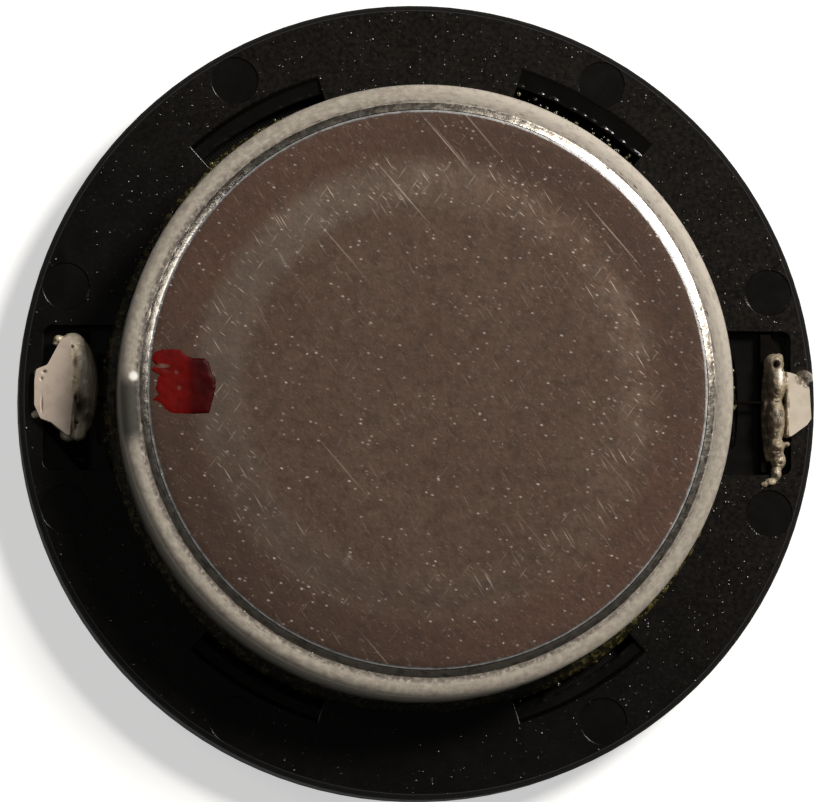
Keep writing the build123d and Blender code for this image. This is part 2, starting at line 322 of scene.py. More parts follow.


# %% [markdown]
# ## Black moulded plastic
# The mould's spark-eroded steel leaves a fine sharp grain on the flange's back, which glitters, while the
# ejector pins, pockets and windows were polished and came out smooth. All of these lie lower than the back
# face, so the height alone tells the two surfaces apart. A little white dust clings to the grain. Part of
# the glitter is painted glints, bright specks in the colour. The glints, the dust and a dust film are
# painted denser towards the corner that the lamp lights, as painted light.

# %% Frame plastic
def make_frame_plastic():
    material, tree, shader, position = new_finish("frame_plastic", Specular_IOR_Level=0.35)
    x, y, z = axes(tree, position)
    top, edge = BACK_Z / MM, FLANGE_R / MM
    grainy = remap(tree, z, top - 0.03, top - 0.01)
    clouds = stain_mask(tree, position, 2.5, 0.3, 0.75)
    base = blend(tree, clouds, (0.0012, 0.0010, 0.0008), (0.0024, 0.0020, 0.0016))
    corner = times(tree, plus(tree, x, y), 0.5)
    # painted light: the dust film, the painted glints and the dust are made denser towards the +X+Y corner,
    # which the lamp lights; the dust itself is real
    dusty = times(tree, remap(tree, corner, -5.0, 6.0, 0.12, 1.0), grainy)
    film = times(tree, stain_mask(tree, position, 0.16, 0.30, 0.75), 0.9)
    base = blend(tree, times(tree, dusty, film), base, (0.0145, 0.0112, 0.0085))
    # painted glints: bright specks in the colour that stand in for the grain catching the lamp
    painted_glints = speck_mask(tree, position, 0.17, 0.26, 0.20)
    base = blend(tree, times(tree, painted_glints, dusty), base, (0.26, 0.22, 0.18))
    dust = speck_mask(tree, position, 0.50, 0.22, 0.09)
    base = blend(tree, times(tree, dust, plus(tree, dusty, 0.15)), base, (0.66, 0.62, 0.56))
    rim = ring_mask(tree, position, edge - 0.16, edge + 1.0, 0.06)
    fill(tree, shader.inputs["Base Color"], blend(tree, rim, base, (0.0012, 0.0010, 0.0009)))
    gloss = stain_mask(tree, position, 0.8, 0.35, 0.7)
    rough = plus(tree, times(tree, gloss, 0.03), times(tree, rim, 0.75))
    fill(tree, shader.inputs["Roughness"], plus(tree, rough, 0.20))
    bumps = speck_mask(tree, position, 0.11, 0.28, 0.48)
    fine = use(tree, GRAIN, Position=position, Spacing=0.05)
    height = plus(tree, bumps, times(tree, fine, 0.10))
    relief(tree, shader, times(tree, height, plus(tree, grainy, 0.05)), 0.010 * MM)
    return material


FRAME_PLASTIC = make_frame_plastic()
print("frame plastic nodes:", len(FRAME_PLASTIC.node_tree.nodes))

# %% [markdown]
# ## The cup's steel
# The cup is drawn from plated sheet. From the middle outwards it has a dull brown face with a paler ring
# where it was rubbed, a bright slope, a groove painted dark as shade, a matte beige shoulder and a wall
# painted darker as shade. The radius tells which of these a point belongs to, so the zones are worked out
# first, as masks, and the cells after this one paint them in turn.

# %% Zones of the cup
CREST_R = CUP_R / MM - 0.60     # where the shoulder begins
BEVEL_FOOT_R = CREST_R - 0.07
FACE_R = BEVEL_FOOT_R - 0.28    # edge of the flat face, where the slope begins
SHOULDER_Z = CUP_TOP / MM - 0.60    # where the shoulder runs into the wall
print("face to", round(FACE_R, 2), "slope to", round(BEVEL_FOOT_R, 2), "crest at", round(CREST_R, 2))


def cup_zones(tree, position):
    """Masks and measures that the next cells share."""
    x, y, z = axes(tree, position)
    flat = node(tree, "ShaderNodeCombineXYZ", X=x, Y=y)
    radius = vector_math(tree, "LENGTH", flat.outputs[0])
    drawn = node(tree, "ShaderNodeCombineXYZ", X=times(tree, x, 0.24), Y=times(tree, y, 0.24),
                 Z=plus(tree, radius, z)).outputs[0]     # patterns on it stretch round the cup
    crest = ring_mask(tree, position, CREST_R - 0.02, CREST_R + 0.03, 0.14)
    return SimpleNamespace(
        position=position, x=x, y=y, z=z, radius=radius, crest=crest,
        corner=times(tree, plus(tree, x, y), 0.5),
        face=ring_mask(tree, position, 0.0, FACE_R - 0.06, 0.03),
        ridge=ring_mask(tree, position, FACE_R - 0.06, FACE_R + 0.01, 0.03),
        slope=ring_mask(tree, position, FACE_R + 0.01, BEVEL_FOOT_R - 0.01, 0.02),
        groove=ring_mask(tree, position, BEVEL_FOOT_R, CREST_R - 0.01, 0.04),
        mottle=stain_mask(tree, position, 0.22, 0.30, 0.72),
        streaks=stain_mask(tree, drawn, 0.09, 0.46, 0.68),
        pits=times(tree, crest, speck_mask(tree, drawn, 0.055, 0.42, 0.60)))


# %% [markdown]
# ### The face
# The brown is never even: it has wide clouds, small stains and pale grit, and painted shade darkens its
# outer part towards two opposite corners. Handling left a paler ring and many fine scratches, most of them
# nearly parallel. The scratches are kept as a mask of their own, because they are pressed into the surface
# later.

# %% Brown oxide
def face_colour(tree, zones):
    position = zones.position
    outer = ring_mask(tree, position, 8.6, FACE_R, 1.2)
    clouds = stain_mask(tree, position, 3.2, 0.30, 0.70)
    brown = blend(tree, clouds, (0.086, 0.052, 0.036), (0.102, 0.065, 0.046))
    brown = blend(tree, times(tree, outer, 0.85), brown, (0.086, 0.045, 0.031))
    # painted shade: the outer face is darkened towards the two corners on the lamp's line, +X+Y and -X-Y
    painted_corner_shade = remap(tree, calc(tree, "ABSOLUTE", zones.corner), 2.0, 6.0, 0.0, 0.50)
    brown = blend(tree, times(tree, outer, painted_corner_shade), brown, (0.040, 0.026, 0.019))
    brown = blend(tree, times(tree, zones.mottle, 0.50), brown, (0.052, 0.034, 0.026))
    stain = stain_mask(tree, position, 0.55, 0.46, 0.64)
    brown = blend(tree, times(tree, stain, 0.34), brown, (0.040, 0.027, 0.022))
    grit = speck_mask(tree, position, 0.085, 0.42, 0.50)
    return blend(tree, times(tree, grit, 0.26), brown, (0.24, 0.20, 0.175))


# %% Rubbing and scratches
def face_scratches(tree, zones, worn):
    """One mask for all the scratches: short ones mostly in the worn ring, and a few long ones."""
    lines = scratch_mask(tree, zones.position, 1.02, 1.3, 0.014, 0.40)
    fine = scratch_mask(tree, zones.position, 0.72, 0.55, 0.010, 0.45)
    more = scratch_mask(tree, zones.position, -0.95, 1.1, 0.012, 0.22)
    long = scratch_mask(tree, zones.position, 0.86, 6.0, 0.018, 0.05)
    short = calc(tree, "MAXIMUM", calc(tree, "MAXIMUM", lines, fine), times(tree, more, 0.7))
    where = plus(tree, times(tree, worn, 0.86), 0.20, clamp=True)
    return calc(tree, "MAXIMUM", times(tree, short, where), times(tree, long, 0.6))


def wear_face(tree, zones, brown):
    """The face's colour with its wear, and the mask of its scratches."""
    worn = ring_mask(tree, zones.position, 6.9, 7.5, 0.9)
    worn = times(tree, worn, remap(tree, zones.y, -6.0, 2.0, 0.45, 1.0))
    scratched = face_scratches(tree, zones, worn)
    patchy = stain_mask(tree, zones.position, 0.9, 0.42, 0.66)
    side = remap(tree, zones.x, 6.0, -6.0, 0.0, 0.19)
    rubbed = times(tree, worn, plus(tree, times(tree, patchy, 0.12), side))
    brown = blend(tree, rubbed, brown, (0.22, 0.19, 0.16))
    brown = blend(tree, scratched, brown, (0.52, 0.44, 0.37))
    flecks = scratch_mask(tree, zones.position, 0.30, 0.24, 0.024, 0.30)
    return blend(tree, flecks, brown, (0.46, 0.41, 0.38)), scratched


# %% [markdown]
# ### The shoulder and the rim
# The shoulder keeps its matte plating, painted paler on the side that faces the lamp, as painted light. Its
# crest is pitted and soiled, with the soil painted stronger on the shaded side, as painted shade, and the
# wall below it is painted darker as shade. Streaks run round the cup, because their pattern lies on
# squeezed coordinates. The slope is bare bright metal, painted shade sits raggedly in the groove, and a
# painted reflection with painted glints on the left marks the edge of the face.

# %% Shoulder
def shoulder_colour(tree, zones):
    beige = blend(tree, zones.mottle, (0.30, 0.265, 0.215), (0.44, 0.395, 0.33))
    # painted light: the plating is paler towards the +X+Y corner, which faces the lamp
    beige = blend(tree, remap(tree, zones.corner, 4.0, 7.5), beige, (0.52, 0.47, 0.40))
    # painted shade: the low shoulder and the wall are painted darker
    low = remap(tree, zones.z, SHOULDER_Z + 0.34, SHOULDER_Z - 0.02)
    beige = blend(tree, low, beige, (0.070, 0.063, 0.042))
    beige = blend(tree, zones.pits, beige, (0.070, 0.048, 0.040))
    # soil on the crest, painted stronger towards the shaded -X-Y side as painted shade
    soil_and_shade = times(tree, stain_mask(tree, zones.position, 0.17, 0.38, 0.58), zones.crest)
    soil_and_shade = times(tree, soil_and_shade, remap(tree, zones.corner, 4.0, -2.0, 0.15, 0.80))
    beige = blend(tree, soil_and_shade, beige, (0.072, 0.055, 0.045))
    return blend(tree, times(tree, zones.streaks, 0.42), beige, (0.21, 0.165, 0.15))


# %% Slope, groove and edge line
def paint_rim(tree, zones, colour):
    bare = blend(tree, zones.streaks, (0.66, 0.60, 0.52), (0.36, 0.31, 0.26))
    colour = blend(tree, zones.slope, colour, bare)
    # painted shade: the groove is painted dark, unevenly along the streaks
    groove_shade = times(tree, zones.groove, blend_value(tree, zones.streaks, 0.35, 0.95))
    colour = blend(tree, groove_shade, colour, (0.13, 0.105, 0.088))
    # painted reflection: a pale cold line along the face's edge, with painted glints as beads on the left side
    painted_bead_glints = speck_mask(tree, zones.position, 0.12, 0.75, 0.60)
    painted_bead_glints = times(tree, painted_bead_glints, remap(tree, zones.x, -4.5, -8.0))
    painted_edge_reflection = blend(tree, zones.streaks, (0.26, 0.27, 0.28), (0.13, 0.125, 0.125))
    line = blend(tree, painted_bead_glints, painted_edge_reflection, (0.80, 0.79, 0.77))
    return blend(tree, times(tree, zones.ridge, 0.85), colour, line)


# %% Handling marks and dust
PAINTED_SHADE_PATCH = (-10.42, -0.80)    # painted shade: a dark patch on the shoulder beside the paint
PAINTED_GLINT = (-10.16, 0.36)          # painted highlight: a bright spot on the shoulder next to it


def add_marks(tree, zones, colour):
    # painted shade: a dark patch, kept to the shoulder
    dark = spot_mask(tree, zones.position, PAINTED_SHADE_PATCH, 0.72, 0.75)
    dark = times(tree, dark, remap(tree, zones.radius, CREST_R - 0.04, CREST_R + 0.04))
    dark = times(tree, dark, remap(tree, zones.z, SHOULDER_Z - 0.15, SHOULDER_Z + 0.10))
    colour = blend(tree, times(tree, dark, 0.92), colour, (0.018, 0.016, 0.012))
    # painted highlight: a near-white spot
    painted_glint = spot_mask(tree, zones.position, PAINTED_GLINT, 0.07, 0.16)
    colour = blend(tree, painted_glint, colour, (0.95, 0.93, 0.88))
    dust = speck_mask(tree, zones.position, 0.25, 0.26, 0.16)
    motes = speck_mask(tree, zones.position, 0.62, 0.30, 0.070)
    dusty = calc(tree, "MAXIMUM", times(tree, dust, 0.20), times(tree, motes, 0.8))
    return blend(tree, dusty, colour, (0.62, 0.57, 0.53))


# %% [markdown]
# ### Putting the cup's finish together
# The colour comes zone by zone. The face and the slope are metal and the shoulder is not, because its
# plating is matte. The slope is also the smoothest, so that it mirrors the lamp as a white band.

# %% Cup steel
def make_cup_steel():
    material, tree, shader, position = new_finish("cup_steel")
    zones = cup_zones(tree, position)
    brown, scratched = wear_face(tree, zones, face_colour(tree, zones))
    colour = blend(tree, zones.face, shoulder_colour(tree, zones), brown)
    colour = add_marks(tree, zones, paint_rim(tree, zones, colour))
    fill(tree, shader.inputs["Base Color"], colour)
    bare = plus(tree, zones.slope, times(tree, zones.ridge, 0.6))
    metal = plus(tree, times(tree, zones.face, 0.80), bare, clamp=True)
    fill(tree, shader.inputs["Metallic"], metal)
    dull = plus(tree, blend_value(tree, zones.face, 0.66, 0.50), times(tree, zones.slope, -0.48))
    dull = calc(tree, "SUBTRACT", dull, times(tree, zones.ridge, 0.20), clamp=True)
    fill(tree, shader.inputs["Roughness"], plus(tree, dull, times(tree, zones.mottle, 0.08)))
    pressed = calc(tree, "SUBTRACT", zones.mottle, times(tree, scratched, 0.8))
    pressed = calc(tree, "SUBTRACT", pressed, times(tree, zones.pits, 4.0))
    relief(tree, shader, pressed, 0.003 * MM)
    return material


CUP_STEEL = make_cup_steel()
print("cup steel nodes:", len(CUP_STEEL.node_tree.nodes))

# %% [markdown]
# ## Solder, tin, paint and glue
# Solder is bright where it froze fast and dull where it froze slowly, with brown flux in its hollows. The
# carving cell further down marks these places on the mesh, and the finish reads the marks as attributes;
# the marks also carry painted highlights and, along the right ridge's inner flank, painted shade. The
# right joint, which the lamp lights, is painted in darker colours than the left one in the cup's shadow,
# as painted light. It is hardly metallic, because a rounded mirror in a dark room would show nothing but
# black. The terminal plates are tinned, but kept nearly black. The red paint is thick and dark on one
# side, and thin and scraped on the other. The glue round the cup is clear and yellowish.

# %% Solder
def painted_on(tree, name):
    """A mask that was stored on the mesh's points."""
    return node(tree, "ShaderNodeAttribute", {"attribute_name": name}).outputs["Fac"]


def make_solder_finish():
    material, tree, shader, position = new_finish("solder", Metallic=0.08)
    dull, painted_highlight, flux_and_shade = (painted_on(tree, name) for name in ("dull", "painted_highlight", "flux_and_shade"))
    # painted light: the right joint (+X), which the lamp lights, gets darker colours below, and the left one,
    # in the cup's shadow, keeps pale ones
    right = remap(tree, axes(tree, position)["X"], -1.0, 1.0)
    patch = stain_mask(tree, position, 0.7, 0.42, 0.62)
    fine = stain_mask(tree, position, 0.10, 0.35, 0.65)
    bright = blend(tree, patch, (0.80, 0.72, 0.56), (0.62, 0.50, 0.34))
    bright = blend(tree, times(tree, fine, 0.25), bright, (0.20, 0.15, 0.11))
    spots = speck_mask(tree, position, 0.40, 0.22, 0.28)
    bright = blend(tree, spots, bright, (0.070, 0.036, 0.024))
    lit_joint_tone = blend(tree, fine, (0.44, 0.36, 0.24), (0.18, 0.135, 0.090))
    bright = blend(tree, times(tree, right, 0.75), bright, lit_joint_tone)
    flat = blend(tree, patch, (0.72, 0.60, 0.50), (0.62, 0.51, 0.42))
    flat = blend(tree, right, flat, (0.46, 0.40, 0.32))
    colour = blend(tree, dull, bright, flat)
    # painted highlight: near white where the mesh is marked
    colour = blend(tree, painted_highlight, colour, (0.98, 0.95, 0.90))
    # flux in hollows, and painted shade where the mesh is marked along the right ridge's flank
    flux_and_shade_colour = blend(tree, patch, (0.036, 0.020, 0.016), (0.085, 0.060, 0.058))
    fill(tree, shader.inputs["Base Color"], blend(tree, flux_and_shade, colour, flux_and_shade_colour))
    rough = plus(tree, blend_value(tree, patch, 0.20, 0.34), times(tree, dull, 0.34))
    fill(tree, shader.inputs["Roughness"], rough)
    relief(tree, shader, times(tree, fine, blend_value(tree, dull, 1.0, 0.15)), 0.008 * MM)
    return material


# %% Tinned plate
def make_tin_finish():
    material, tree, shader, position = new_finish("terminal_tin", Specular_IOR_Level=0.05)
    smear = stain_mask(tree, position, 0.5, 0.35, 0.7)
    lines = scratch_mask(tree, position, 0.3, 0.9, 0.02, 0.25)
    colour = blend(tree, smear, (0.0020, 0.0017, 0.0014), (0.0060, 0.0048, 0.0038))
    colour = blend(tree, lines, colour, (0.080, 0.070, 0.058))
    fill(tree, shader.inputs["Base Color"], colour)
    fill(tree, shader.inputs["Roughness"], blend_value(tree, smear, 0.75, 0.95))
    relief(tree, shader, calc(tree, "SUBTRACT", smear, lines), 0.004 * MM)
    return material


# %% Red paint
def bare_spots(tree, position, lines, thick):
    """Where steel shows through the paint: along scratches on the thin side, and in three small spots."""
    scraped = times(tree, times(tree, lines, 0.6), calc(tree, "SUBTRACT", 1.0, thick))
    drawn_out = vector_math(tree, "ADD", position, (9.19, -0.70, 0.0))
    drawn_out = vector_math(tree, "MULTIPLY", drawn_out, (0.30, 1.0, 1.0))
    lens = ring_mask(tree, drawn_out, -1.0, 0.045, 0.05)
    flake = spot_mask(tree, position, (-8.60, -0.05), 0.03, 0.07)
    chip = spot_mask(tree, position, (-8.70, 0.48), 0.02, 0.08)
    chips = times(tree, calc(tree, "MAXIMUM", flake, chip), 0.55)
    return calc(tree, "MAXIMUM", scraped, calc(tree, "MAXIMUM", lens, chips))


def make_red_paint():
    material, tree, shader, position = new_finish("red_paint", Specular_IOR_Level=0.06)
    patch = stain_mask(tree, position, 0.45, 0.35, 0.65)
    wander = plus(tree, axes(tree, position)["X"], times(tree, patch, 0.10))
    middle = (MARK_LOW.x + MARK_HIGH.x) / 2 / MM
    thick = remap(tree, wander, middle + 0.12, middle + 0.62)
    thin_red = blend(tree, patch, (0.086, 0.0016, 0.0010), (0.130, 0.0026, 0.0016))
    deep_red = blend(tree, patch, (0.028, 0.0006, 0.0008), (0.044, 0.0010, 0.0012))
    colour = blend(tree, thick, thin_red, deep_red)
    lines = scratch_mask(tree, position, 0.35, 0.8, 0.035, 0.22)
    bare = bare_spots(tree, position, lines, thick)
    colour = blend(tree, times(tree, bare, 0.85), colour, (0.125, 0.078, 0.062))
    fill(tree, shader.inputs["Base Color"], colour)
    fill(tree, shader.inputs["Metallic"], times(tree, bare, 0.6))
    fill(tree, shader.inputs["Roughness"], blend_value(tree, thick, 0.52, 0.42))
    relief(tree, shader, calc(tree, "SUBTRACT", patch, lines), 0.003 * MM)
    return material


# %% Clear yellowish glue
def make_glue_finish():
    material, tree, shader, position = new_finish("glue", Coat_Weight=0.6, Coat_Roughness=0.05)
    amber = stain_mask(tree, position, 0.22, 0.46, 0.68)
    colour = blend(tree, amber, (0.0100, 0.0090, 0.0036), (0.110, 0.092, 0.024))
    fill(tree, shader.inputs["Base Color"], colour)
    fill(tree, shader.inputs["Roughness"], blend_value(tree, amber, 0.10, 0.26))
    relief(tree, shader, stain_mask(tree, position, 0.10, 0.25, 0.75), 0.02 * MM)
    return material


SOLDER = make_solder_finish()
TIN = make_tin_finish()
RED_PAINT = make_red_paint()
GLUE = make_glue_finish()
print("solder nodes:", len(SOLDER.node_tree.nodes), "paint nodes:", len(RED_PAINT.node_tree.nodes))

# %% [markdown]
# ## Finishes of the front and the inside
# These show from below and through the windows: the clear film, the black fibre ring that clamps it, the
# copper winding on its brown former, the steel of the motor and the dark damping cloth.

# %% Film finish
def make_film_finish():
    material, tree, shader, position = new_finish("film", IOR=1.5, Coat_Weight=0.3)
    haze = stain_mask(tree, position, 1.2, 0.35, 0.7)
    dust = speck_mask(tree, position, 0.8, 0.15, 0.07)
    fill(tree, shader.inputs["Base Color"], blend(tree, haze, (0.86, 0.83, 0.76), (0.74, 0.71, 0.64)))
    fill(tree, shader.inputs["Roughness"], plus(tree, blend_value(tree, haze, 0.10, 0.22), dust))
    fill(tree, shader.inputs["Alpha"], plus(tree, blend_value(tree, haze, 0.20, 0.32), dust))
    relief(tree, shader, haze, 0.004 * MM)
    return material


FILM = make_film_finish()


# %% A finish made of two tones
def make_two_tone(name, dark, light, spacing, depth, rough=(0.4, 0.6), **constants):
    """Most inner pieces need no more than uneven colour, uneven gloss and a slight relief."""
    material, tree, shader, position = new_finish(name, **constants)
    patch = stain_mask(tree, position, spacing, 0.3, 0.7)
    fill(tree, shader.inputs["Base Color"], blend(tree, patch, dark, light))
    fill(tree, shader.inputs["Roughness"], blend_value(tree, patch, *rough))
    relief(tree, shader, patch, depth * MM)
    return material


FIBRE = make_two_tone("gasket_fibre", (0.010, 0.010, 0.010), (0.035, 0.033, 0.030), 0.12, 0.02, (0.8, 0.95))
FORMER_PAPER = make_two_tone("former_paper", (0.30, 0.17, 0.07), (0.46, 0.28, 0.13), 0.3, 0.006)
COPPER = make_two_tone("coil_copper", (0.62, 0.25, 0.11), (0.80, 0.38, 0.19), 0.6, 0.002, (0.18, 0.3),
                       Metallic=1.0)
ENAMEL = make_two_tone("wire_enamel", (0.0020, 0.0012, 0.0010), (0.0050, 0.0028, 0.0020), 0.5, 0.002,
                       (0.75, 0.9), Specular_IOR_Level=0.05)
NICKEL = make_two_tone("magnet_nickel", (0.50, 0.49, 0.46), (0.64, 0.62, 0.58), 1.4, 0.004, (0.16, 0.3),
                       Metallic=1.0)
PLATE_STEEL = make_two_tone("pole_plate_zinc", (0.44, 0.43, 0.41), (0.60, 0.59, 0.57), 0.5, 0.004, (0.3, 0.5),
                            Metallic=1.0)


# %% Damping cloth
def make_cloth_finish(threads_per_mm=42.0 / math.tau):
    material, tree, shader, position = new_finish("damping_cloth", Roughness=0.9, Specular_IOR_Level=0.15)
    x, y, _ = axes(tree, position)
    across = calc(tree, "SINE", times(tree, x, threads_per_mm * math.tau))
    along = calc(tree, "SINE", times(tree, y, threads_per_mm * math.tau))
    weave = times(tree, across, along)
    patch = stain_mask(tree, position, 0.4, 0.3, 0.7)
    dark = blend(tree, patch, (0.0012, 0.0011, 0.0010), (0.0030, 0.0027, 0.0024))
    threads = remap(tree, weave, -0.6, 0.6)
    fill(tree, shader.inputs["Base Color"], blend(tree, threads, dark, (0.0050, 0.0046, 0.0040)))
    relief(tree, shader, weave, 0.02 * MM)
    return material


CLOTH = make_cloth_finish()
print("finishes:", len(bpy.data.materials))

# %% [markdown]
# ## From a mesh to a finished piece
# A finished piece sits at the origin with its place in its mesh, rides on a body where one is given, and
# stands for the solids that it hides. `finish_piece` does that for every piece.
# Sharp edges are marked by their angle, so that one mesh can be smooth and crisp where it should be.

# %% Piece helpers
def finish_piece(piece, material, body=None, replaces=(), sharp_angle=35):
    """Give a mesh object its finish, its body and the solids that it stands for."""
    piece.data.materials.clear()
    piece.data.materials.append(material)
    piece.data.shade_smooth()
    piece.data.set_sharp_from_angle(angle=math.radians(sharp_angle))
    if body:
        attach(piece, body)
    if replaces:
        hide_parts(*replaces)
    print(piece.name, "faces", len(piece.data.polygons))
    return piece


# %% [markdown]
# ### Opening and closing a mesh
# Blender edits a mesh through a BMesh, which has to be filled, written back and freed each time. `edit`
# does that round trip, so a cell only says what changes in between. `linked` puts data into the scene as
# an object, and `evaluated_mesh` keeps what the modifiers of an object make of it.

# %% Objects and meshes
def linked(name, data):
    """A new object that holds the data, linked to the scene."""
    made = bpy.data.objects.new(name, data)
    bpy.context.scene.collection.objects.link(made)
    return made


@contextmanager
def edit(mesh):
    """Open a mesh for editing, and write it back at the end."""
    work = bmesh.new()
    work.from_mesh(mesh)
    yield work
    work.to_mesh(mesh)
    work.free()


def mesh_piece(name, points, faces):
    """A linked object from plain points and faces, with its normals pointing out."""
    mesh = bpy.data.meshes.new(name)
    mesh.from_pydata([tuple(point) for point in points], [], faces)
    with edit(mesh) as work:
        bmesh.ops.remove_doubles(work, verts=work.verts, dist=0.0005 * MM)
        bmesh.ops.recalc_face_normals(work, faces=work.faces)
    return linked(name, mesh)


def evaluated_mesh(piece):
    """What the piece's modifiers make of it, as a plain mesh."""
    return bpy.data.meshes.new_from_object(piece.evaluated_get(bpy.context.evaluated_depsgraph_get()))


# %% [markdown]
# ## A lathe in Geometry Nodes
# Most of this speaker is turned or ring-shaped. One tree does the work of a lathe: the host mesh holds the
# points of a section, radius in X and height in Z, and a grid with one row per point is wrapped round the
# axis. The seam and the pole are then merged, so the result is closed. Reading the section by index keeps
# every point of it where it was put, which a resampled curve would not.

# %% Start and end of a geometry tree
def new_geometry_tree(name, inputs):
    """A tree that takes a host's geometry, {name: kind} inputs and a material."""
    tree = bpy.data.node_groups.new(name, "GeometryNodeTree")
    sockets = {"Geometry": "Geometry", **inputs, "Material": "Material"}
    for label, kind in sockets.items():
        tree.interface.new_socket(label, in_out="INPUT", socket_type="NodeSocket" + kind)
    tree.interface.new_socket("Geometry", in_out="OUTPUT", socket_type="NodeSocketGeometry")
    return tree, tree.nodes.new("NodeGroupInput").outputs


def end_geometry_tree(tree, given, geometry):
    """Every tree ends in real meshes that carry their material."""
    real = node(tree, "GeometryNodeRealizeInstances", Geometry=geometry)
    painted = node(tree, "GeometryNodeSetMaterial", Geometry=real.outputs[0], Material=given["Material"])
    result = tree.nodes.new("NodeGroupOutput").inputs
    fill(tree, result["Geometry"], painted.outputs[0])
    return tree


# %% Build the lathe tree
def make_lathe_tree():
    tree, given = new_geometry_tree("lathe", {"Steps": "Int", "Rows": "Int"})
    columns = plus(tree, given["Steps"], 1.0)
    grid = node(tree, "GeometryNodeMeshGrid", Vertices_X=columns, Vertices_Y=given["Rows"])
    index = tree.nodes.new("GeometryNodeInputIndex").outputs[0]
    row = calc(tree, "FLOORED_MODULO", index, given["Rows"])
    column = calc(tree, "FLOOR", calc(tree, "DIVIDE", index, given["Rows"]))
    angle = times(tree, calc(tree, "DIVIDE", column, given["Steps"]), math.tau)
    section = node(tree, "GeometryNodeSampleIndex", {"data_type": "FLOAT_VECTOR"},
                   Geometry=given["Geometry"], Index=row,
                   Value=tree.nodes.new("GeometryNodeInputPosition").outputs[0])
    turned = node(tree, "ShaderNodeVectorRotate", {"rotation_type": "Z_AXIS"},
                  Vector=section.outputs[0], Angle=angle)
    wrapped = node(tree, "GeometryNodeSetPosition", Geometry=grid.outputs[0], Position=turned.outputs[0])
    closed = node(tree, "GeometryNodeMergeByDistance", Geometry=wrapped.outputs[0], Distance=0.0004 * MM)
    return end_geometry_tree(tree, given, closed.outputs[0])


LATHE = make_lathe_tree()
print("lathe nodes:", len(LATHE.nodes))


# %% Run a tree and keep its mesh
def run_tree(name, host_mesh, tree, values):
    """Put the tree on a host, set its inputs by identifier, and turn what it makes into a plain mesh piece."""
    host = linked(name + "_host", host_mesh)
    modifier = host.modifiers.new("tree", "NODES")
    modifier.node_group = tree
    for item in tree.interface.items_tree:
        if item.in_out == "INPUT" and item.name in values:
            modifier[item.identifier] = values[item.name]
    mesh = evaluated_mesh(host)
    mesh.name = name
    host.modifiers.remove(modifier)
    bpy.data.objects.remove(host)
    with edit(mesh) as work:
        bmesh.ops.recalc_face_normals(work, faces=work.faces)
    return linked(name, mesh)


def turn(name, section, material, steps=256):
    """A turned piece from its section, a list of (radius, height) in millimetres."""
    host = bpy.data.meshes.new(name + "_section")
    host.from_pydata([(radius * MM, 0, height * MM) for radius, height in section], [], [])
    return run_tree(name, host, LATHE, {"Steps": steps, "Rows": len(section), "Material": material})


def arc(centre, radius, start, end, steps):
    """Points of an arc in the section's plane, with its angles in degrees."""
    angles = [math.radians(start + (end - start) * number / steps) for number in range(steps + 1)]
    return [(centre[0] + radius * math.cos(a), centre[1] + radius * math.sin(a)) for a in angles]


# %% [markdown]
# ## The steel cup
# The section runs from the middle of the face outwards: a low crown, the flat face that rolls off softly
# at its edge, the slope, a fine groove, the round shoulder and the straight wall. The inside is plain. The
# edge and the shoulder's crest are made uneven afterwards, because a drawn edge never is quite even.

# %% Heights across the cup's face
FACE_Z = CUP_TOP / MM - 0.06    # flat part of the face
CROWN = 0.042                   # how much higher the middle stands
CROWN_R = 6.6                   # where the crown's slope begins
CROWN_SLOPE = 1.3
RIM_LINE = [(FACE_R - 0.40, 0.0), (FACE_R - 0.24, -0.002), (FACE_R - 0.12, -0.007), (FACE_R - 0.05, -0.012),
            (FACE_R, -0.018), (FACE_R + 0.04, -0.028), (FACE_R + 0.10, -0.045), (FACE_R + 0.16, -0.063),
            (FACE_R + 0.22, -0.082), (BEVEL_FOOT_R, -0.100), (BEVEL_FOOT_R + 0.04, -0.105),
            (CREST_R + 0.03, -0.098), (CREST_R + 0.10, -0.089), (CREST_R + 0.20, -0.088)]


def cup_face_height(radius):
    """Height of the cup's face at a radius, all in millimetres."""
    if radius <= CROWN_R:
        return FACE_Z + CROWN
    if radius <= CROWN_R + CROWN_SLOPE:
        share = (radius - CROWN_R) / CROWN_SLOPE
        return FACE_Z + CROWN * (1 - share * share * (3 - 2 * share))
    for (start, low), (end, high) in zip(RIM_LINE, RIM_LINE[1:]):
        if start < radius <= end:
            return FACE_Z + low + (high - low) * (radius - start) / (end - start)
    return FACE_Z


print("face at", round(FACE_Z, 3), "groove at", round(cup_face_height(BEVEL_FOOT_R + 0.04), 3))

# %% Turn the cup
WALL = 1.14
SHOULDER_R = 0.36
INNER_FLOOR_Z = 4.9


def cup_section():
    radii = [0.0, 2.0, 4.0, 6.0] + [CROWN_R + CROWN_SLOPE * k / 8 for k in range(9)] + [8.6]
    radii += [point[0] for point in RIM_LINE]
    face = [(radius, cup_face_height(radius)) for radius in radii]
    outer, low, back = CUP_R / MM, CUP_LOW.z / MM, BACK_Z / MM
    shoulder = arc((outer - SHOULDER_R, FACE_Z - 0.09 - SHOULDER_R), SHOULDER_R, 84, 0, 10)
    wall = [(outer, 3.6), (outer, back), (outer - 0.10, low + 0.03), (outer - 0.13, low)]
    inner = outer - WALL
    inside = [(inner + 0.04, low), (inner, low + 0.04), (inner, INNER_FLOOR_Z), (0.0, INNER_FLOOR_Z)]
    return face + shoulder + wall + inside


cup = turn("cup_drawn", cup_section(), CUP_STEEL, steps=768)

# %% Make the edge and the crest uneven
EDGE_WEAR = 0.005
CREST_WEAR = 0.03


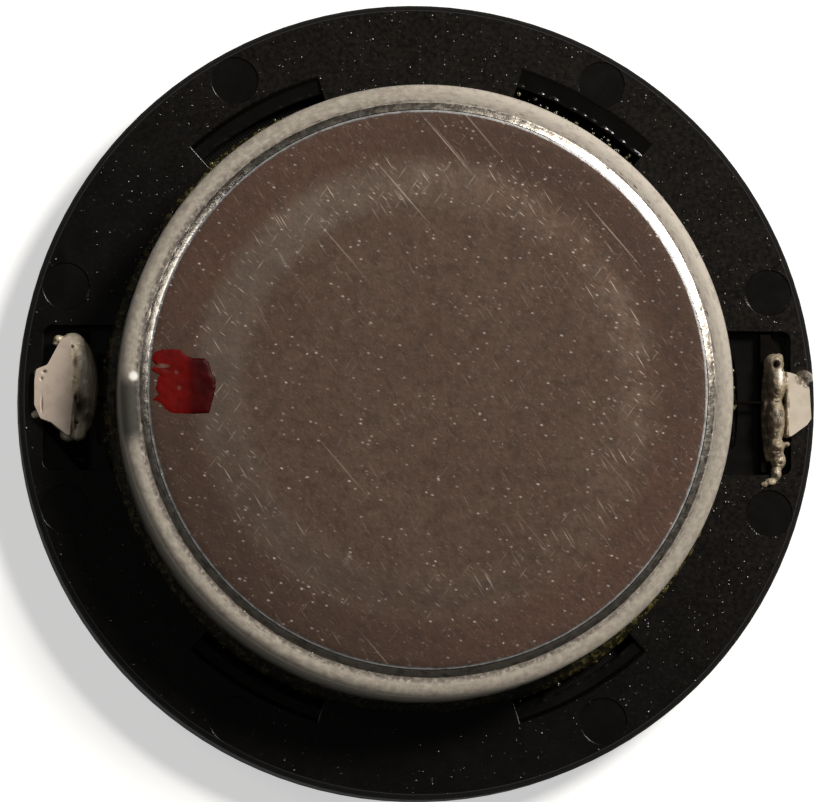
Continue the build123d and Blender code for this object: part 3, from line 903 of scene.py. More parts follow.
def roughen_rim(piece):
    """Lower the face's edge and the crest unevenly, by hundredths of a millimetre."""
    for vertex in piece.data.vertices:
        radius = math.hypot(vertex.co.x, vertex.co.y) / MM
        if vertex.co.z < BACK_Z + 3 * MM or radius < FACE_R - 0.05:
            continue
        rough = noise.noise(vertex.co / (0.35 * MM)) * 0.5 + noise.noise(vertex.co / (0.12 * MM)) * 0.5
        if FACE_R - 0.05 < radius < FACE_R + 0.04:
            vertex.co.z -= EDGE_WEAR * (0.35 + rough) * MM
        crest = max(0.0, 1 - abs(radius - CREST_R) / 0.14)
        vertex.co.z -= crest * (0.012 + CREST_WEAR * rough) * MM
        vertex.co.x *= 1 + crest * 0.0018 * rough
        vertex.co.y *= 1 + crest * 0.0018 * rough


roughen_rim(cup)
finish_piece(cup, CUP_STEEL, "chassis", ["yoke_cup"], sharp_angle=24)

# %% [markdown]
# ## The moulded frame
# The solid already has the right form, but its edges are razor sharp, which no moulding is. A copy of its
# mesh is merged, its flat areas are dissolved into whole faces, and a weighted bevel rounds each edge by
# its own amount: most on the outer rim, least round the shallow pin marks.

# %% Copy the solid's mesh
def merged_copy(node_name, piece_name):
    """A copy of a solid's mesh with its loose triangles joined and its flat areas made whole."""
    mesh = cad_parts[node_name].data.copy()
    mesh.name = piece_name
    with edit(mesh) as work:
        bmesh.ops.remove_doubles(work, verts=work.verts, dist=0.0008 * MM)
        bmesh.ops.dissolve_limit(work, angle_limit=math.radians(0.6), verts=work.verts, edges=work.edges)
    return linked(piece_name, mesh)


# %% Round its edges
def bevel_weight(middle):
    """How much of the widest bevel an edge gets, by where it is."""
    radius = math.hypot(middle.x, middle.y)
    if radius > FLANGE_R - 0.2 * MM:
        return 1.0
    if middle.z > BACK_Z - 0.06 * MM and radius > CUP_R + 1.55 * MM and abs(middle.y) > 2.6 * MM:
        return 0.22
    return 0.5


def add_bevel(piece, width, segments, method):
    bevel = piece.modifiers.new("round", "BEVEL")
    bevel.limit_method = method
    bevel.width = width
    bevel.segments = segments
    bevel.use_clamp_overlap = True
    return bevel


def round_edges(piece, width):
    with edit(piece.data) as work:
        layer = work.edges.layers.float.new("bevel_weight_edge")
        for edge in work.edges:
            if len(edge.link_faces) == 2 and edge.calc_face_angle(0.0) > math.radians(28):
                edge[layer] = bevel_weight((edge.verts[0].co + edge.verts[1].co) / 2)
    add_bevel(piece, width, 3, "WEIGHT")
    even = piece.modifiers.new("even_normals", "WEIGHTED_NORMAL")
    even.keep_sharp = True


moulding = merged_copy("frame", "frame_moulding")
round_edges(moulding, 0.06 * MM)
finish_piece(moulding, FRAME_PLASTIC, "chassis", ["frame"], sharp_angle=40)

# %% [markdown]
# ## Shelves in the windows
# Each window has a polished shelf outside its slot, a little below the back, which runs up softly to the
# flange and ends in a small lip over the slot. A hard step would throw a black shadow that the real one
# does not. One function gives the shelf's height anywhere, and a grid follows it.

# %% Window shelves
WINDOW_ANGLE = 60.2
WINDOW_HALF = 12.4
WINDOWS = [     # middle angle, outer side of the slot, outer side of the window, height of the lip
    (WINDOW_ANGLE, 11.68, 12.35, 0.040), (180 - WINDOW_ANGLE, 11.35, 11.96, 0.012),
    (180 + WINDOW_ANGLE, 11.32, 11.86, 0.008), (360 - WINDOW_ANGLE, 11.32, 11.86, 0.015)]


def smooth(share):
    share = min(max(share, 0.0), 1.0)
    return share * share * (3 - 2 * share)


def shelf_height(radius, angle, slot, outer, lip):
    """Height of a window's shelf, in millimetres. The angle is from the window's middle, in degrees."""
    rise = smooth(1 - (outer - radius) / 0.16)
    depth = 0.10 + 0.05 * (outer - radius) / (outer - slot)
    place = Vector((angle * 0.9, radius * 2, outer))
    crest = lip * max(0.0, 0.35 + 1.7 * noise.noise(place * 0.9))
    crest *= math.exp(-((radius - slot - 0.06) / 0.045) ** 2)
    return BACK_Z / MM - depth * (1 - rise) - 0.015 * rise + crest * (1 - rise)


# %% Make the shelves
def shelf_line(turn_by, slot, outer, lip, rows):
    """One closed section of a shelf: down the slot's side, along the top and down to the foot."""
    foot = BACK_Z / MM - 0.41
    radii = [slot + (outer - slot) * (row / rows) ** 1.3 for row in range(rows + 1)]
    top = [(radius, shelf_height(radius, turn_by, slot, outer, lip)) for radius in radii]
    return [(slot, foot), (slot, top[0][1] - 0.03)] + top + [(outer - 0.12, foot)]


def make_shelf(number, steps=120, rows=22):
    middle, slot, outer, lip = WINDOWS[number]
    points, faces = [], []
    for step in range(steps + 1):
        turn_by = WINDOW_HALF * (2 * step / steps - 1)
        angle = math.radians(middle + turn_by)
        points += [Vector((radius * math.cos(angle), radius * math.sin(angle), height)) * MM
                   for radius, height in shelf_line(turn_by, slot, outer, lip, rows)]
    wide = rows + 4
    for step in range(steps):
        for row in range(wide):
            after = (row + 1) % wide
            start = step * wide
            faces.append((start + row, start + after, start + wide + after, start + wide + row))
    faces += [tuple(range(wide)), tuple(range(steps * wide, (steps + 1) * wide))]
    piece = mesh_piece("window_shelf_%d" % (number + 1), points, faces)
    return finish_piece(piece, FRAME_PLASTIC, "chassis", sharp_angle=50)


for number in range(4):
    make_shelf(number)

# %% [markdown]
# ## Solder
# Solder that was laid by hand has lumps, flat faces and pits, and no two joints are alike. Each joint is
# built from rounded lumps and one slab, which a voxel remesh melts into one skin. Its flat face is then
# cut by a plane, and pits are pressed in. The lists are given one by one: places are in millimetres,
# outwards from the speaker's middle, then sideways, then up.

# %% Melt lumps into one skin
def add_lump(work, middle, radii):
    made = bmesh.ops.create_icosphere(work, subdivisions=3, radius=1.0)
    for vertex in made["verts"]:
        vertex.co = Vector([(middle[k] + vertex.co[k] * radii[k]) * MM for k in range(3)])


def add_slab(work, outline, low, height_at):
    """A block with upright sides whose top follows height_at(u, v)."""
    under = [work.verts.new((u * MM, v * MM, low * MM)) for u, v in outline]
    top = [work.verts.new((u * MM, v * MM, height_at(u, v) * MM)) for u, v in outline]
    work.faces.new(under)
    work.faces.new(top[::-1])
    for number in range(len(outline)):
        after = (number + 1) % len(outline)
        work.faces.new((under[after], under[number], top[number], top[after]))


def melt(name, lumps, slab, low, height_at, voxel=0.034 * MM):
    """Lumps and a slab as one closed skin."""
    work = bmesh.new()
    for middle, radii in lumps:
        add_lump(work, middle, radii)
    add_slab(work, slab, low, height_at)
    bmesh.ops.recalc_face_normals(work, faces=work.faces)
    mesh = bpy.data.meshes.new(name + "_lumps")
    work.to_mesh(mesh)
    work.free()
    host = linked(name + "_host", mesh)
    remesh = host.modifiers.new("melt", "REMESH")
    remesh.mode = "VOXEL"
    remesh.voxel_size = voxel
    skin = evaluated_mesh(host)
    bpy.data.objects.remove(host)
    skin.name = name
    return linked(name, skin)


# %% Carve the skin and mark it
def away_from(u, v, place_u, place_v, reach_u, reach_v):
    """Squared distance from a place, where 1 is the edge of its oval."""
    return ((u - place_u) / reach_u) ** 2 + ((v - place_v) / reach_v) ** 2


def carve(piece, side, low, height_at, on_slab, pits, flux_and_shade_spots, painted_highlight_spots, roughness):
    """Smooth the skin, cut its flat face, press the pits in, and turn it to its side of the speaker."""
    with edit(piece.data) as work:
        for _ in range(3):
            bmesh.ops.smooth_vert(work, verts=work.verts, factor=0.5,
                                  use_axis_x=True, use_axis_y=True, use_axis_z=True)
        dull, flux_and_shade, painted_highlight = (work.verts.layers.float.new(name) for name in ("dull", "flux_and_shade", "painted_highlight"))
        for vertex in work.verts:
            u, v, z = vertex.co / MM
            place = Vector((u, v, z))
            z += roughness * (noise.noise(place * 3.1) + 0.4 * noise.noise(place * 9.0))
            if on_slab(u, v):
                top = height_at(u, v) + 0.002 * noise.noise(Vector((u, v, 0)) * 4)
                vertex[dull] = 1.0 if z > top - 0.14 else 0.0
                z = top if z > top - 0.14 else z
            for *pit, depth in pits:
                away = away_from(u, v, *pit)
                if z > low + 0.15:
                    z -= depth * math.exp(-away * 2)
                vertex[flux_and_shade] = max(vertex[flux_and_shade], min(1.0, 4 * depth) * math.exp(-away * 1.5))
            # painted highlights: spots marked near white for the finish
            for spot in painted_highlight_spots:
                vertex[painted_highlight] = max(vertex[painted_highlight], math.exp(-away_from(u, v, *spot) ** 2))
            # dark spots: flux in hollows, and painted shade along the right ridge's inner flank
            for place_u, place_v, reach in flux_and_shade_spots:
                away = math.hypot(u - place_u, v - place_v) / reach
                vertex[flux_and_shade] = max(vertex[flux_and_shade], 0.8 * math.exp(-away ** 4))
            vertex.co = Vector((side * u, v, max(z, low))) * MM
        bmesh.ops.recalc_face_normals(work, faces=work.faces)


# %% [markdown]
# ### The two joints
# The left joint is a broad dome with one flat face that slopes outwards, and small drips at its ends. The
# right one is a tall narrow ridge with a tail, beside its own flat face. A lump is a place and three
# radii. A pit is a place, how far it reaches both ways, and its depth. Dark spots of flux and painted
# shade, and spots of painted highlight, only mark the mesh for the solder's finish.

# %% Left joint
PLATE_Z = 1.95


def left_top(u, v):
    return PLATE_Z + 0.84 - 0.34 * (u - 12.25) + 0.03 * v


LEFT_SLAB = [(12.22, 2.10), (12.55, 1.96), (13.02, 1.08), (13.40, 0.94), (13.46, 0.60), (13.46, -0.30),
             (13.24, -0.78), (12.88, -0.92), (12.35, -1.36), (12.22, -1.40)]
LEFT_LUMPS = [
    ((11.90, 0.35, PLATE_Z), (0.68, 1.76, 0.96)), ((12.12, 1.62, PLATE_Z), (0.56, 0.66, 0.66)),
    ((12.62, 2.02, PLATE_Z + 0.12), (0.19, 0.16, 0.20)), ((12.72, 1.90, PLATE_Z + 0.10), (0.12, 0.10, 0.14)),
    ((11.92, -1.24, PLATE_Z + 0.15), (0.30, 0.30, 0.46)), ((13.42, -0.62, PLATE_Z + 0.10), (0.16, 0.15, 0.14)),
    ((12.26, -1.30, PLATE_Z), (0.30, 0.26, 0.44)), ((13.36, 0.86, PLATE_Z + 0.10), (0.12, 0.10, 0.20)),
    ((12.10, -0.75, PLATE_Z), (0.10, 0.62, 0.92)),
]
LEFT_PITS = [
    (11.86, -0.36, 0.20, 0.50, 0.50), (12.02, -0.10, 0.09, 0.16, 0.26), (12.06, 1.16, 0.10, 0.26, 0.18),
    (12.16, 1.72, 0.06, 0.09, 0.14), (13.12, 0.84, 0.08, 0.05, 0.14), (13.22, 0.60, 0.05, 0.06, 0.10),
    (12.00, -0.92, 0.10, 0.07, 0.22), (13.20, -0.30, 0.03, 0.30, 0.08), (12.10, 0.62, 0.05, 0.06, 0.08),
]
solder_left = melt("solder_joint_left", LEFT_LUMPS, LEFT_SLAB, PLATE_Z - 0.1, left_top)
LEFT_FLUX_AND_SHADE = [(11.72, -0.30, 0.30), (11.66, -0.75, 0.25)]
# spots of painted highlight on the left joint
LEFT_PAINTED_HIGHLIGHTS = [(11.74, 1.10, 0.10, 0.40), (11.90, 1.48, 0.09, 0.08), (11.72, 0.48, 0.10, 0.09),
              (11.50, -0.92, 0.07, 0.06)]


def on_left_slab(u, v):
    return u > 12.16 + 0.03 * math.sin(5 * v)


carve(solder_left, -1, PLATE_Z, left_top, on_left_slab, LEFT_PITS, LEFT_FLUX_AND_SHADE, LEFT_PAINTED_HIGHLIGHTS, 0.045)
finish_piece(solder_left, SOLDER, "chassis", ["solder_left"], sharp_angle=50)


# %% Right joint
def right_top(u, _):
    return PLATE_Z + 0.76 - 0.26 * (u - 12.95)


RIGHT_SLAB = [(12.92, 1.06), (13.30, 0.96), (13.76, 0.52), (13.82, -0.58), (13.66, -0.80), (13.08, -1.22),
              (12.92, -1.22)]
RIGHT_LUMPS = [
    ((12.56, 1.40, PLATE_Z), (0.36, 0.36, 0.74)), ((12.62, 0.66, PLATE_Z), (0.38, 0.78, 1.00)),
    ((12.58, -0.62, PLATE_Z), (0.38, 0.98, 0.97)), ((12.58, -1.52, PLATE_Z), (0.34, 0.44, 0.80)),
    ((12.70, -2.02, PLATE_Z + 0.05), (0.27, 0.34, 0.52)), ((12.62, -2.46, PLATE_Z + 0.10), (0.19, 0.30, 0.34)),
    ((12.42, -2.78, PLATE_Z + 0.15), (0.20, 0.14, 0.22)), ((12.20, -2.88, PLATE_Z + 0.15), (0.14, 0.11, 0.16)),
    ((12.98, -1.46, PLATE_Z + 0.20), (0.13, 0.10, 0.24)), ((13.60, 0.90, PLATE_Z + 0.12), (0.34, 0.28, 0.52)),
    ((12.34, -0.30, PLATE_Z), (0.24, 1.80, 0.34)), ((12.74, 1.60, PLATE_Z), (0.16, 0.18, 0.40)),
]
RIGHT_PITS = [
    (12.57, 1.32, 0.13, 0.14, 0.46), (13.82, 0.72, 0.08, 0.07, 0.22), (12.58, 0.00, 0.26, 0.03, 0.10),
    (12.98, -0.10, 0.03, 0.22, 0.10), (12.72, -2.16, 0.10, 0.06, 0.14), (12.60, -1.72, 0.16, 0.07, 0.16),
    (12.50, 0.34, 0.05, 0.10, 0.10), (12.86, -1.30, 0.10, 0.10, 0.20), (12.56, -2.60, 0.05, 0.06, 0.10),
    (12.80, 1.12, 0.06, 0.05, 0.16), (12.80, 0.74, 0.08, 0.03, 0.08),
]
solder_right = melt("solder_joint_right", RIGHT_LUMPS, RIGHT_SLAB, PLATE_Z - 0.1, right_top)
# painted shade along the right ridge's inner flank, and flux in a few hollows
RIGHT_FLUX_AND_SHADE = [(13.62, 0.92, 0.36), (12.56, 1.34, 0.20), (12.26, 0.96, 0.20), (12.24, 0.60, 0.24),
                (12.22, 0.20, 0.24), (12.22, -0.20, 0.24), (12.22, -0.60, 0.24), (12.22, -1.00, 0.24),
                (12.24, -1.40, 0.22), (12.62, -0.46, 0.20), (12.60, -0.78, 0.18), (12.66, -1.84, 0.14)]
# a spot of painted highlight on the right joint
RIGHT_PAINTED_HIGHLIGHTS = [(12.70, 0.92, 0.08, 0.30)]


def on_right_slab(u, v):
    return u > 12.98 and math.hypot(u - 13.60, v - 0.90) > 0.36


carve(solder_right, 1, PLATE_Z, right_top, on_right_slab, RIGHT_PITS, RIGHT_FLUX_AND_SHADE, RIGHT_PAINTED_HIGHLIGHTS, 0.075)
finish_piece(solder_right, SOLDER, "chassis", ["solder_right"], sharp_angle=50)

# %% [markdown]
# ## Terminal plates
# The two tinned plates under the solder keep the solids' shape. A slight bevel catches a line of light
# along their cut edges, where the solder leaves them bare.

# %% Bevel the plates
for side in ("left", "right"):
    plate = merged_copy("terminal_" + side, "tinned_plate_" + side)
    add_bevel(plate, 0.03 * MM, 2, "ANGLE").angle_limit = math.radians(35)
    finish_piece(plate, TIN, "chassis", ["terminal_" + side])

# %% [markdown]
# ## Glue round the cup
# The cup is glued into the frame, and the glue stands in the corner as an uneven bead. It is turned on
# the same lathe, then pushed about by noise. In the windows it broke up into small drops: a second tree
# scatters them over a strip that follows each window, so that their number and size stay two inputs.

# %% Bead
def wander(place, size):
    """Smooth noise whose waves are about this many millimetres long."""
    return noise.noise(place / (size * MM))


def make_bead():
    low, cup_r = BACK_Z / MM, CUP_R / MM
    section = [(cup_r - 0.06, low - 0.12), (cup_r + 0.40, low - 0.10), (cup_r + 0.40, low),
               (cup_r + 0.32, low + 0.05), (cup_r + 0.20, low + 0.10), (cup_r + 0.10, low + 0.17),
               (cup_r + 0.02, low + 0.25), (cup_r - 0.06, low + 0.26)]
    bead = turn("glue_bead", section, GLUE, steps=540)
    for vertex in bead.data.vertices:
        radius = math.hypot(vertex.co.x, vertex.co.y)
        if vertex.co.z > BACK_Z - 0.02 * MM and radius > CUP_R:
            outward = Vector((vertex.co.x, vertex.co.y, 0)) / radius
            amount = wander(vertex.co, 0.9) + 0.5 * wander(vertex.co, 0.22)
            vertex.co += outward * (0.05 * amount - 0.07) * MM
            vertex.co.z += 0.03 * wander(vertex.co, 0.16) * MM
    return finish_piece(bead, GLUE, "chassis", ["cup_glue"], sharp_angle=60)


make_bead()


# %% Tree that scatters drops
def make_drops_tree():
    tree, given = new_geometry_tree("glue_drops", {
        "Density": "Float", "Smallest": "Float", "Largest": "Float", "Seed": "Int"})
    spread = node(tree, "GeometryNodeDistributePointsOnFaces", Mesh=given["Geometry"],
                  Density=given["Density"], Seed=given["Seed"])
    drop = node(tree, "GeometryNodeMeshIcoSphere", Radius=1.0, Subdivisions=2)
    random = node(tree, "FunctionNodeRandomValue", {"data_type": "FLOAT"}, Seed=given["Seed"])
    fill(tree, random.inputs[2], given["Smallest"])
    fill(tree, random.inputs[3], given["Largest"])
    size = random.outputs[1]
    squat = node(tree, "ShaderNodeCombineXYZ", X=size, Y=size, Z=times(tree, size, 0.6))
    placed = node(tree, "GeometryNodeInstanceOnPoints", Points=spread.outputs["Points"],
                  Instance=drop.outputs[0], Scale=squat.outputs[0])
    return end_geometry_tree(tree, given, placed.outputs[0])


DROPS = make_drops_tree()
print("drops nodes:", len(DROPS.nodes))


# %% Drops along arcs
def arc_strip(arcs, steps=8):
    """Faces along arcs: (start angle, end angle, inner radius, outer radius, height)."""
    mesh = bpy.data.meshes.new("strip")
    points, faces = [], []
    for start, end, inner, outer, height in arcs:
        for number in range(steps + 1):
            angle = math.radians(start + (end - start) * number / steps)
            for radius in (inner, outer):
                points.append((radius * math.cos(angle) * MM, radius * math.sin(angle) * MM, height * MM))
            if number:
                last = len(points)
                faces.append((last - 4, last - 3, last - 1, last - 2))
    mesh.from_pydata(points, [], faces)
    return mesh


GLUE_ARCS = [
    (48, 72, 11.12, 11.50, 1.98), (49, 56, 11.12, 11.62, 2.02), (108, 132, 10.80, 11.12, 2.03),
    (287, 313, 10.74, 11.15, 1.94), (228, 252, 10.72, 11.05, 1.90),
    (-10, 12, 10.72, 11.20, 2.02), (170, 190, 10.85, 11.20, 1.60),
]
glue_drops = run_tree("glue_drops", arc_strip(GLUE_ARCS), DROPS, {
    "Density": 1.3e7, "Smallest": 0.025 * MM, "Largest": 0.10 * MM, "Seed": 5, "Material": GLUE})
finish_piece(glue_drops, GLUE, "chassis", sharp_angle=80)

# %% [markdown]
# ## Red mark
# One dab of paint shows which terminal is positive. It is a thin skin that follows the cup's face and the
# start of its rim, thinner on its scraped side, with a ragged edge. The skin is a fan of rings between its
# middle and its outline, and a short skirt closes it below.

# %% Outline of the paint
MARK_MIDDLE = Vector((-8.42, 0.12))
MARK_OUTLINE = [(-9.48, 1.17), (-9.17, 1.28), (-8.57, 1.28), (-8.40, 1.09), (-8.14, 0.98), (-7.71, 0.97),
                (-7.57, 0.80), (-7.49, 0.47), (-7.35, 0.28), (-7.35, -0.05), (-7.45, -0.48), (-7.57, -0.91),
                (-8.06, -0.94), (-8.83, -0.93), (-9.07, -0.78), (-9.22, -0.57), (-9.51, -0.48), (-9.30, -0.29),
                (-9.42, -0.05), (-9.26, 0.38), (-9.56, 0.57), (-9.41, 0.76), (-9.54, 0.90)]


def place_on_line(points, share):
    """The place at a share of the way round a closed line."""
    lengths = [math.dist(point, points[(k + 1) % len(points)]) for k, point in enumerate(points)]
    rest = share * sum(lengths)
    for number, length in enumerate(lengths):
        if rest <= length:
            start, end = points[number], points[(number + 1) % len(points)]
            return Vector(start).lerp(Vector(end), rest / length)
        rest -= length
    return Vector(points[0])


def ragged_edge(share):
    edge = place_on_line(MARK_OUTLINE, share)
    amount = 0.05 if edge.x < -9.2 else 0.02
    shift = [noise.noise(Vector((edge.x, edge.y, layer)) * 9) for layer in (1, 7)]
    return edge + Vector(shift) * amount


print("paint outline points:", len(MARK_OUTLINE))


# %% Paint the mark
def mark_point(edge, share):
    """A place on the skin, from its middle (0) to its edge (1)."""
    place = MARK_MIDDLE.lerp(edge, share)
    thickness = 0.022 + 0.026 * min(max((place.x + 8.5) / 0.4, 0), 1)
    thickness += 0.008 * noise.noise(Vector((place.x, place.y, 0)) * 4)
    thickness *= 1 - share ** 14
    return Vector((place.x, place.y, cup_face_height(place.length) + 0.004 + thickness)) * MM


def make_mark(spokes=220, rings=26):
    edges = [ragged_edge(spoke / spokes) for spoke in range(spokes)]
    points = [mark_point(edge, ring / rings) for ring in range(rings + 1) for edge in edges]
    points += [point - Vector((0, 0, 0.02 * MM)) for point in points[-spokes:]]
    faces = []
    for ring in range(rings + 1):
        low, high = ring * spokes, (ring + 1) * spokes
        for spoke in range(spokes):
            after = (spoke + 1) % spokes
            faces.append((low + spoke, high + spoke, high + after, low + after))
    skirt = (rings + 1) * spokes
    middle = (MARK_MIDDLE.x, MARK_MIDDLE.y, cup_face_height(MARK_MIDDLE.length) - 0.02)
    points.append(Vector(middle) * MM)
    faces += [(skirt + (k + 1) % spokes, skirt + k, len(points) - 1) for k in range(spokes)]
    return mesh_piece("red_mark", points, faces)


finish_piece(make_mark(), RED_PAINT, "chassis", ["polarity_mark"], sharp_angle=70)

# %% [markdown]
# ## The front: film, fibre ring, coil and former
# A clear film closes the front. Its dome rides on the coil, its flat edge is clamped under a fibre ring,
# and the rolled surround between them bends. The surround is cut into narrow sectors.

# %% Film
FILM_THICK = 0.10
FILM_FRONT = FILM_HIGH.z / MM - FILM_THICK
FORMER_WALL = 0.08
DOME_R = FORMER_HIGH.x / MM - FORMER_WALL
SEAT_R = DOME_R + 0.64          # end of the flat seat that the coil hangs on
RING_WIDTH = 0.95
ROLL_R = GASKET_HIGH.x / MM - RING_WIDTH
FILM_EDGE_R = FILM_HIGH.x / MM
DOME_RISE = 0.40
ROLL_RISE = 0.34
SECTORS = 24


def both_sides(front):
    """A closed film section from its front side."""
    return front + [(radius, height + FILM_THICK) for radius, height in reversed(front)]


dome_front = [(DOME_R * k / 20, FILM_FRONT - DOME_RISE * (1 - (k / 20) ** 2)) for k in range(21)]
film_dome = turn("film_dome", both_sides(dome_front + [(SEAT_R, FILM_FRONT)]), FILM, steps=144)
finish_piece(film_dome, FILM, "moving_coil", ["diaphragm"])
film_edge = turn("film_edge", both_sides([(ROLL_R, FILM_FRONT), (FILM_EDGE_R, FILM_FRONT)]), FILM, steps=144)
finish_piece(film_edge, FILM, "chassis")


# %% Surround
def make_sector(number, rows=16, columns=8):
    """One sector of the rolled surround: front and back skins, with a rib along its middle."""
    points, faces = [], []
    for layer in (0, FILM_THICK):
        for row in range(rows + 1):
            for column in range(columns + 1):
                share = row / rows
                angle = math.tau * (number + column / columns) / SECTORS
                rib = 0.03 * math.sin(math.pi * share) * (1 - abs(2 * column / columns - 1))
                radius = SEAT_R + (ROLL_R - SEAT_R) * share
                height = FILM_FRONT - ROLL_RISE * math.sin(math.pi * share) ** 0.8 + rib + layer
                points.append((radius * math.cos(angle) * MM, radius * math.sin(angle) * MM, height * MM))
    size = (rows + 1) * (columns + 1)
    for row in range(rows):
        for column in range(columns):
            corner = row * (columns + 1) + column
            front = (corner, corner + 1, corner + columns + 2, corner + columns + 1)
            faces += [front, tuple(index + size for index in reversed(front))]
    sector = mesh_piece(f"film_surround_{number + 1:02d}", points, faces)
    finish_piece(sector, FILM, sharp_angle=60)
    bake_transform(sector)
    return sector


for number in range(SECTORS):
    make_sector(number)

# %% Fibre ring
ring_low, ring_high = GASKET_LOW.z / MM, GASKET_HIGH.z / MM
gasket_section = [(ROLL_R, ring_low + 0.05), (ROLL_R + 0.05, ring_low), (FILM_EDGE_R - 0.05, ring_low),
                  (FILM_EDGE_R, ring_low + 0.05), (FILM_EDGE_R, ring_high), (ROLL_R, ring_high)]
gasket = turn("fibre_ring", gasket_section + [gasket_section[0]], FIBRE, steps=180)
finish_piece(gasket, FIBRE, "chassis", ["front_gasket"])

# %% [markdown]
# ## The winding
# Turns of fine copper wire lie side by side, so the coil's outer side and its ends are scalloped. The
# section for the lathe has a small arc for each turn.

# %% Wind the coil
WIRE_R = 0.05


def winding_section():
    inner, outer = FORMER_HIGH.x / MM, COIL_HIGH.x / MM
    low, high = COIL_LOW.z / MM, COIL_HIGH.z / MM
    across = round((outer - inner) / (2 * WIRE_R))
    along = round((high - low) / (2 * WIRE_R))
    section = []
    for turn_number in range(across):
        section += arc((inner + WIRE_R * (2 * turn_number + 1), low + WIRE_R), WIRE_R, 200, 340, 3)
    for turn_number in range(along):
        section += arc((outer - WIRE_R, low + WIRE_R * (2 * turn_number + 1)), WIRE_R, -70, 70, 3)
    for turn_number in reversed(range(across)):
        section += arc((inner + WIRE_R * (2 * turn_number + 1), high - WIRE_R), WIRE_R, 20, 160, 3)
    return section + [section[0]]


winding = turn("coil_winding", winding_section(), COPPER, steps=120)
finish_piece(winding, COPPER, "moving_coil", ["voice_coil"], sharp_angle=80)

# %% Former
former_in, former_out = DOME_R, FORMER_HIGH.x / MM
former_low, former_high = FORMER_LOW.z / MM, FORMER_HIGH.z / MM
former_section = [(former_in, former_low), (former_out, former_low), (former_out, former_high - 0.02),
                  (former_out - 0.02, former_high), (former_in + 0.02, former_high),
                  (former_in, former_high - 0.02)]
former = turn("coil_former_tube", former_section + [former_section[0]], FORMER_PAPER, steps=144)
finish_piece(former, FORMER_PAPER, "moving_coil", ["coil_former"])

# %% [markdown]
# ## Lead wires
# Two short wires carry the current from the coil, under the frame's inner floor, up through a slot and
# into the solder. A tree rounds the corners of each path and sweeps a small circle along it.

# %% Tree that sweeps a wire
def make_wire_tree():
    tree, given = new_geometry_tree("wire", {"Radius": "Float", "Bend": "Float"})
    path = node(tree, "GeometryNodeMeshToCurve", Mesh=given["Geometry"])
    bent = node(tree, "GeometryNodeFilletCurve", {"mode": "POLY"}, Curve=path.outputs[0], Count=5,
                Radius=given["Bend"])
    circle = node(tree, "GeometryNodeCurvePrimitiveCircle", Resolution=10, Radius=given["Radius"])
    swept = node(tree, "GeometryNodeCurveToMesh", Curve=bent.outputs[0], Profile_Curve=circle.outputs[0],
                 Fill_Caps=True)
    return end_geometry_tree(tree, given, swept.outputs[0])


WIRE = make_wire_tree()
print("wire nodes:", len(WIRE.nodes))


# %% Lay both wires
def lay_wire(side, sign):
    low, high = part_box("lead_" + side)
    radius = (high.y - low.y) / 2
    coil_x = COIL_HIGH.x - 0.20 * MM
    slot_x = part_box("lead_glue_" + side)[1 if sign > 0 else 0].x * sign - 0.24 * MM
    end_x = max(abs(low.x), abs(high.x))
    path = [(coil_x, COIL_LOW.z), (coil_x, low.z + radius), (slot_x, low.z + radius),
            (slot_x, high.z - radius), (end_x, high.z - radius)]
    host = bpy.data.meshes.new("path")
    host.from_pydata([(sign * x, 0, z) for x, z in path], [(k, k + 1) for k in range(len(path) - 1)], [])
    wire = run_tree("lead_wire_" + side, host, WIRE, {
        "Radius": radius, "Bend": 0.14 * MM, "Material": ENAMEL})
    finish_piece(wire, ENAMEL, replaces=["lead_" + side], sharp_angle=60)
    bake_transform(wire)


lay_wire("left", -1)
lay_wire("right", 1)

# %% [markdown]
# ## Pieces that keep their solids
# The magnet, its pole plate, the four damping cloths and the drops that seal the lead slots lie deep
# inside. Their solids are exact, so they only get finishes.

# %% Finish the rest
INNER_FINISHES = {"magnet": NICKEL, "pole_plate": PLATE_STEEL, "lead_glue_left": GLUE, "lead_glue_right": GLUE}
INNER_FINISHES.update({f"vent_cloth_{number}": CLOTH for number in (1, 2, 3, 4)})
for name, material in INNER_FINISHES.items():
    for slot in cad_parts[name].material_slots:
        slot.material = material
    print(name, "keeps its solid")

# %% [markdown]
# ## Camera
# The view is from almost straight above the back, tipped a little, from about a hand's length away. The
# camera aims a hair to the left of the middle, which leaves the speaker slightly to the right.

# %% Place the camera
CAMERA_DISTANCE = 230 * MM
CAMERA_TILT = math.radians(7.60)
CAMERA_SIDE = Vector((-0.643, -0.766, 0))       # the side that the camera leans to
CAMERA_TARGET = Vector((-0.272 * MM, -0.033 * MM, BACK_Z))


def place_camera():
    data = bpy.data.cameras.new("camera")
    camera = linked("camera", data)
    data.sensor_width = 36
    data.lens = 287.5
    data.clip_start = 0.01
    data.clip_end = 5
    lean = CAMERA_SIDE * math.sin(CAMERA_TILT) + Vector((0, 0, math.cos(CAMERA_TILT)))
    place = CAMERA_TARGET + CAMERA_DISTANCE * lean
    back = (place - CAMERA_TARGET).normalized()
    right = Vector((0, 1, 0)).cross(back).normalized()
    turned = Matrix((right, back.cross(right), back)).transposed().to_4x4()
    camera.matrix_world = Matrix.Translation(place) @ turned
    bpy.context.scene.camera = camera
    print("camera at", [round(value / MM, 1) for value in place])


place_camera()

# %% [markdown]
# ## Floor, light and room
# The floor is pale and matte. It shows white to the camera but keeps the speaker's shadow, and under the
# speaker, where no light gets in, its colour is painted dark as shade. One lamp stands behind on the right,
# where the slope round the cup's face mirrors it as a white band, and the cup shades the flange on the other
# side. A weak one stands on the left. The room is dark near the horizon, which is what gives rounded metal
# its dark edges.

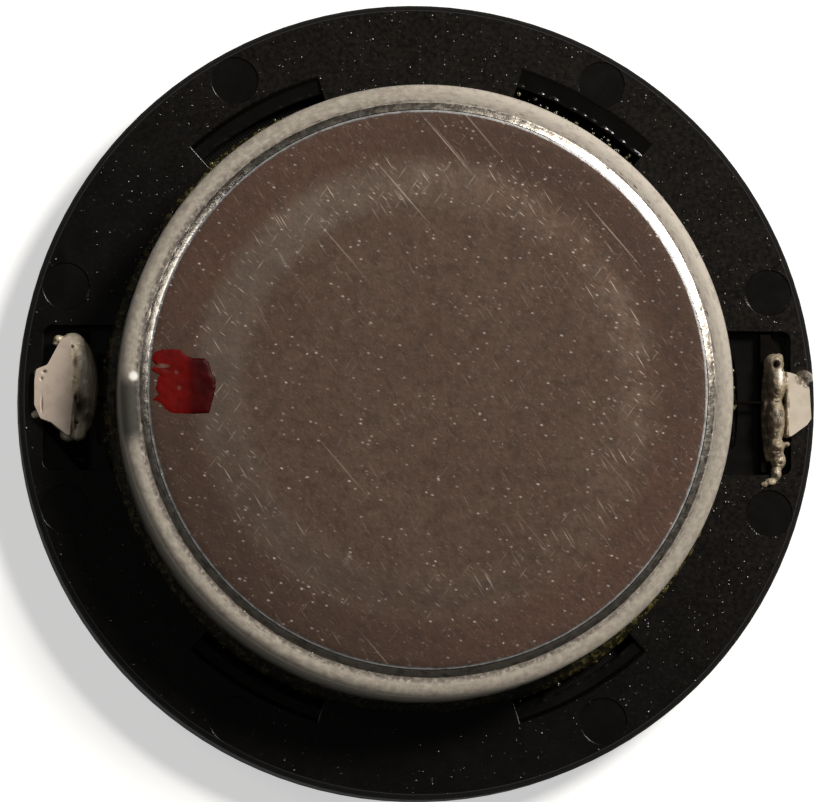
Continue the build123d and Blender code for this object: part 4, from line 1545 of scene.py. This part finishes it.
# %% Floor paint
def make_floor_paint():
    material, tree, shader, place = new_finish("floor_paint", Roughness=0.9, Emission_Color=(1, 1, 1))
    rays = tree.nodes.new("ShaderNodeLightPath").outputs
    mirrored = calc(tree, "MAXIMUM", rays["Is Glossy Ray"], rays["Is Transmission Ray"])
    seen = calc(tree, "MAXIMUM", rays["Is Camera Ray"], mirrored)
    under = ring_mask(tree, place, 0.0, FLANGE_R / MM - 1.0, 0.8)
    # painted shade: the floor's colour is dark under the speaker
    fill(tree, shader.inputs["Base Color"], blend(tree, under, (0.62, 0.62, 0.62), (0.03, 0.03, 0.03)))
    glow = times(tree, seen, calc(tree, "SUBTRACT", 1.0, under))
    fill(tree, shader.inputs["Emission Strength"], times(tree, glow, 0.55))
    return material


# %% Floor
def make_floor(radius=0.12, steps=64):
    angles = [math.tau * number / steps for number in range(steps)]
    mesh = bpy.data.meshes.new("floor")
    mesh.from_pydata([(radius * math.cos(a), radius * math.sin(a), 0) for a in angles], [], [range(steps)])
    floor = linked("floor", mesh)
    mesh.materials.append(make_floor_paint())


make_floor()


# %% Lamps
def add_lamp(name, heading, elevation, distance, size, power, colour):
    data = bpy.data.lights.new(name, "AREA")
    data.shape = "DISK"
    data.size = size
    data.energy = power
    data.color = colour
    lamp = linked(name, data)
    flat = Vector((*heading, 0)).normalized()
    rise = math.radians(elevation)
    lamp.location = distance * (flat * math.cos(rise) + Vector((0, 0, math.sin(rise))))
    lamp.rotation_euler = (-lamp.location).to_track_quat("-Z", "Y").to_euler()
    print(name, "watts", power)


add_lamp("key_light", (0.76, 0.65), 49, 0.45, 0.12, 2.3, (1.0, 0.96, 0.90))
add_lamp("fill_light", (-0.79, 0.61), 64, 0.45, 0.12, 0.10, (1.0, 0.97, 0.93))


# %% Room
def make_room():
    world = bpy.data.worlds.new("room")
    world.use_nodes = True
    tree = world.node_tree
    direction = tree.nodes.new("ShaderNodeTexCoord").outputs["Generated"]
    bright = remap(tree, axes(tree, direction)["Z"], 0.25, 0.98, 0.010, 0.045)
    lit = vector_scale(tree, (1.0, 0.96, 0.90), bright)
    seen = tree.nodes.new("ShaderNodeLightPath").outputs["Is Camera Ray"]
    fill(tree, tree.nodes["Background"].inputs["Color"], blend(tree, seen, lit, (1, 1, 1)))
    bpy.context.scene.world = world


make_room()
bpy.context.scene.view_settings.view_transform = "Standard"
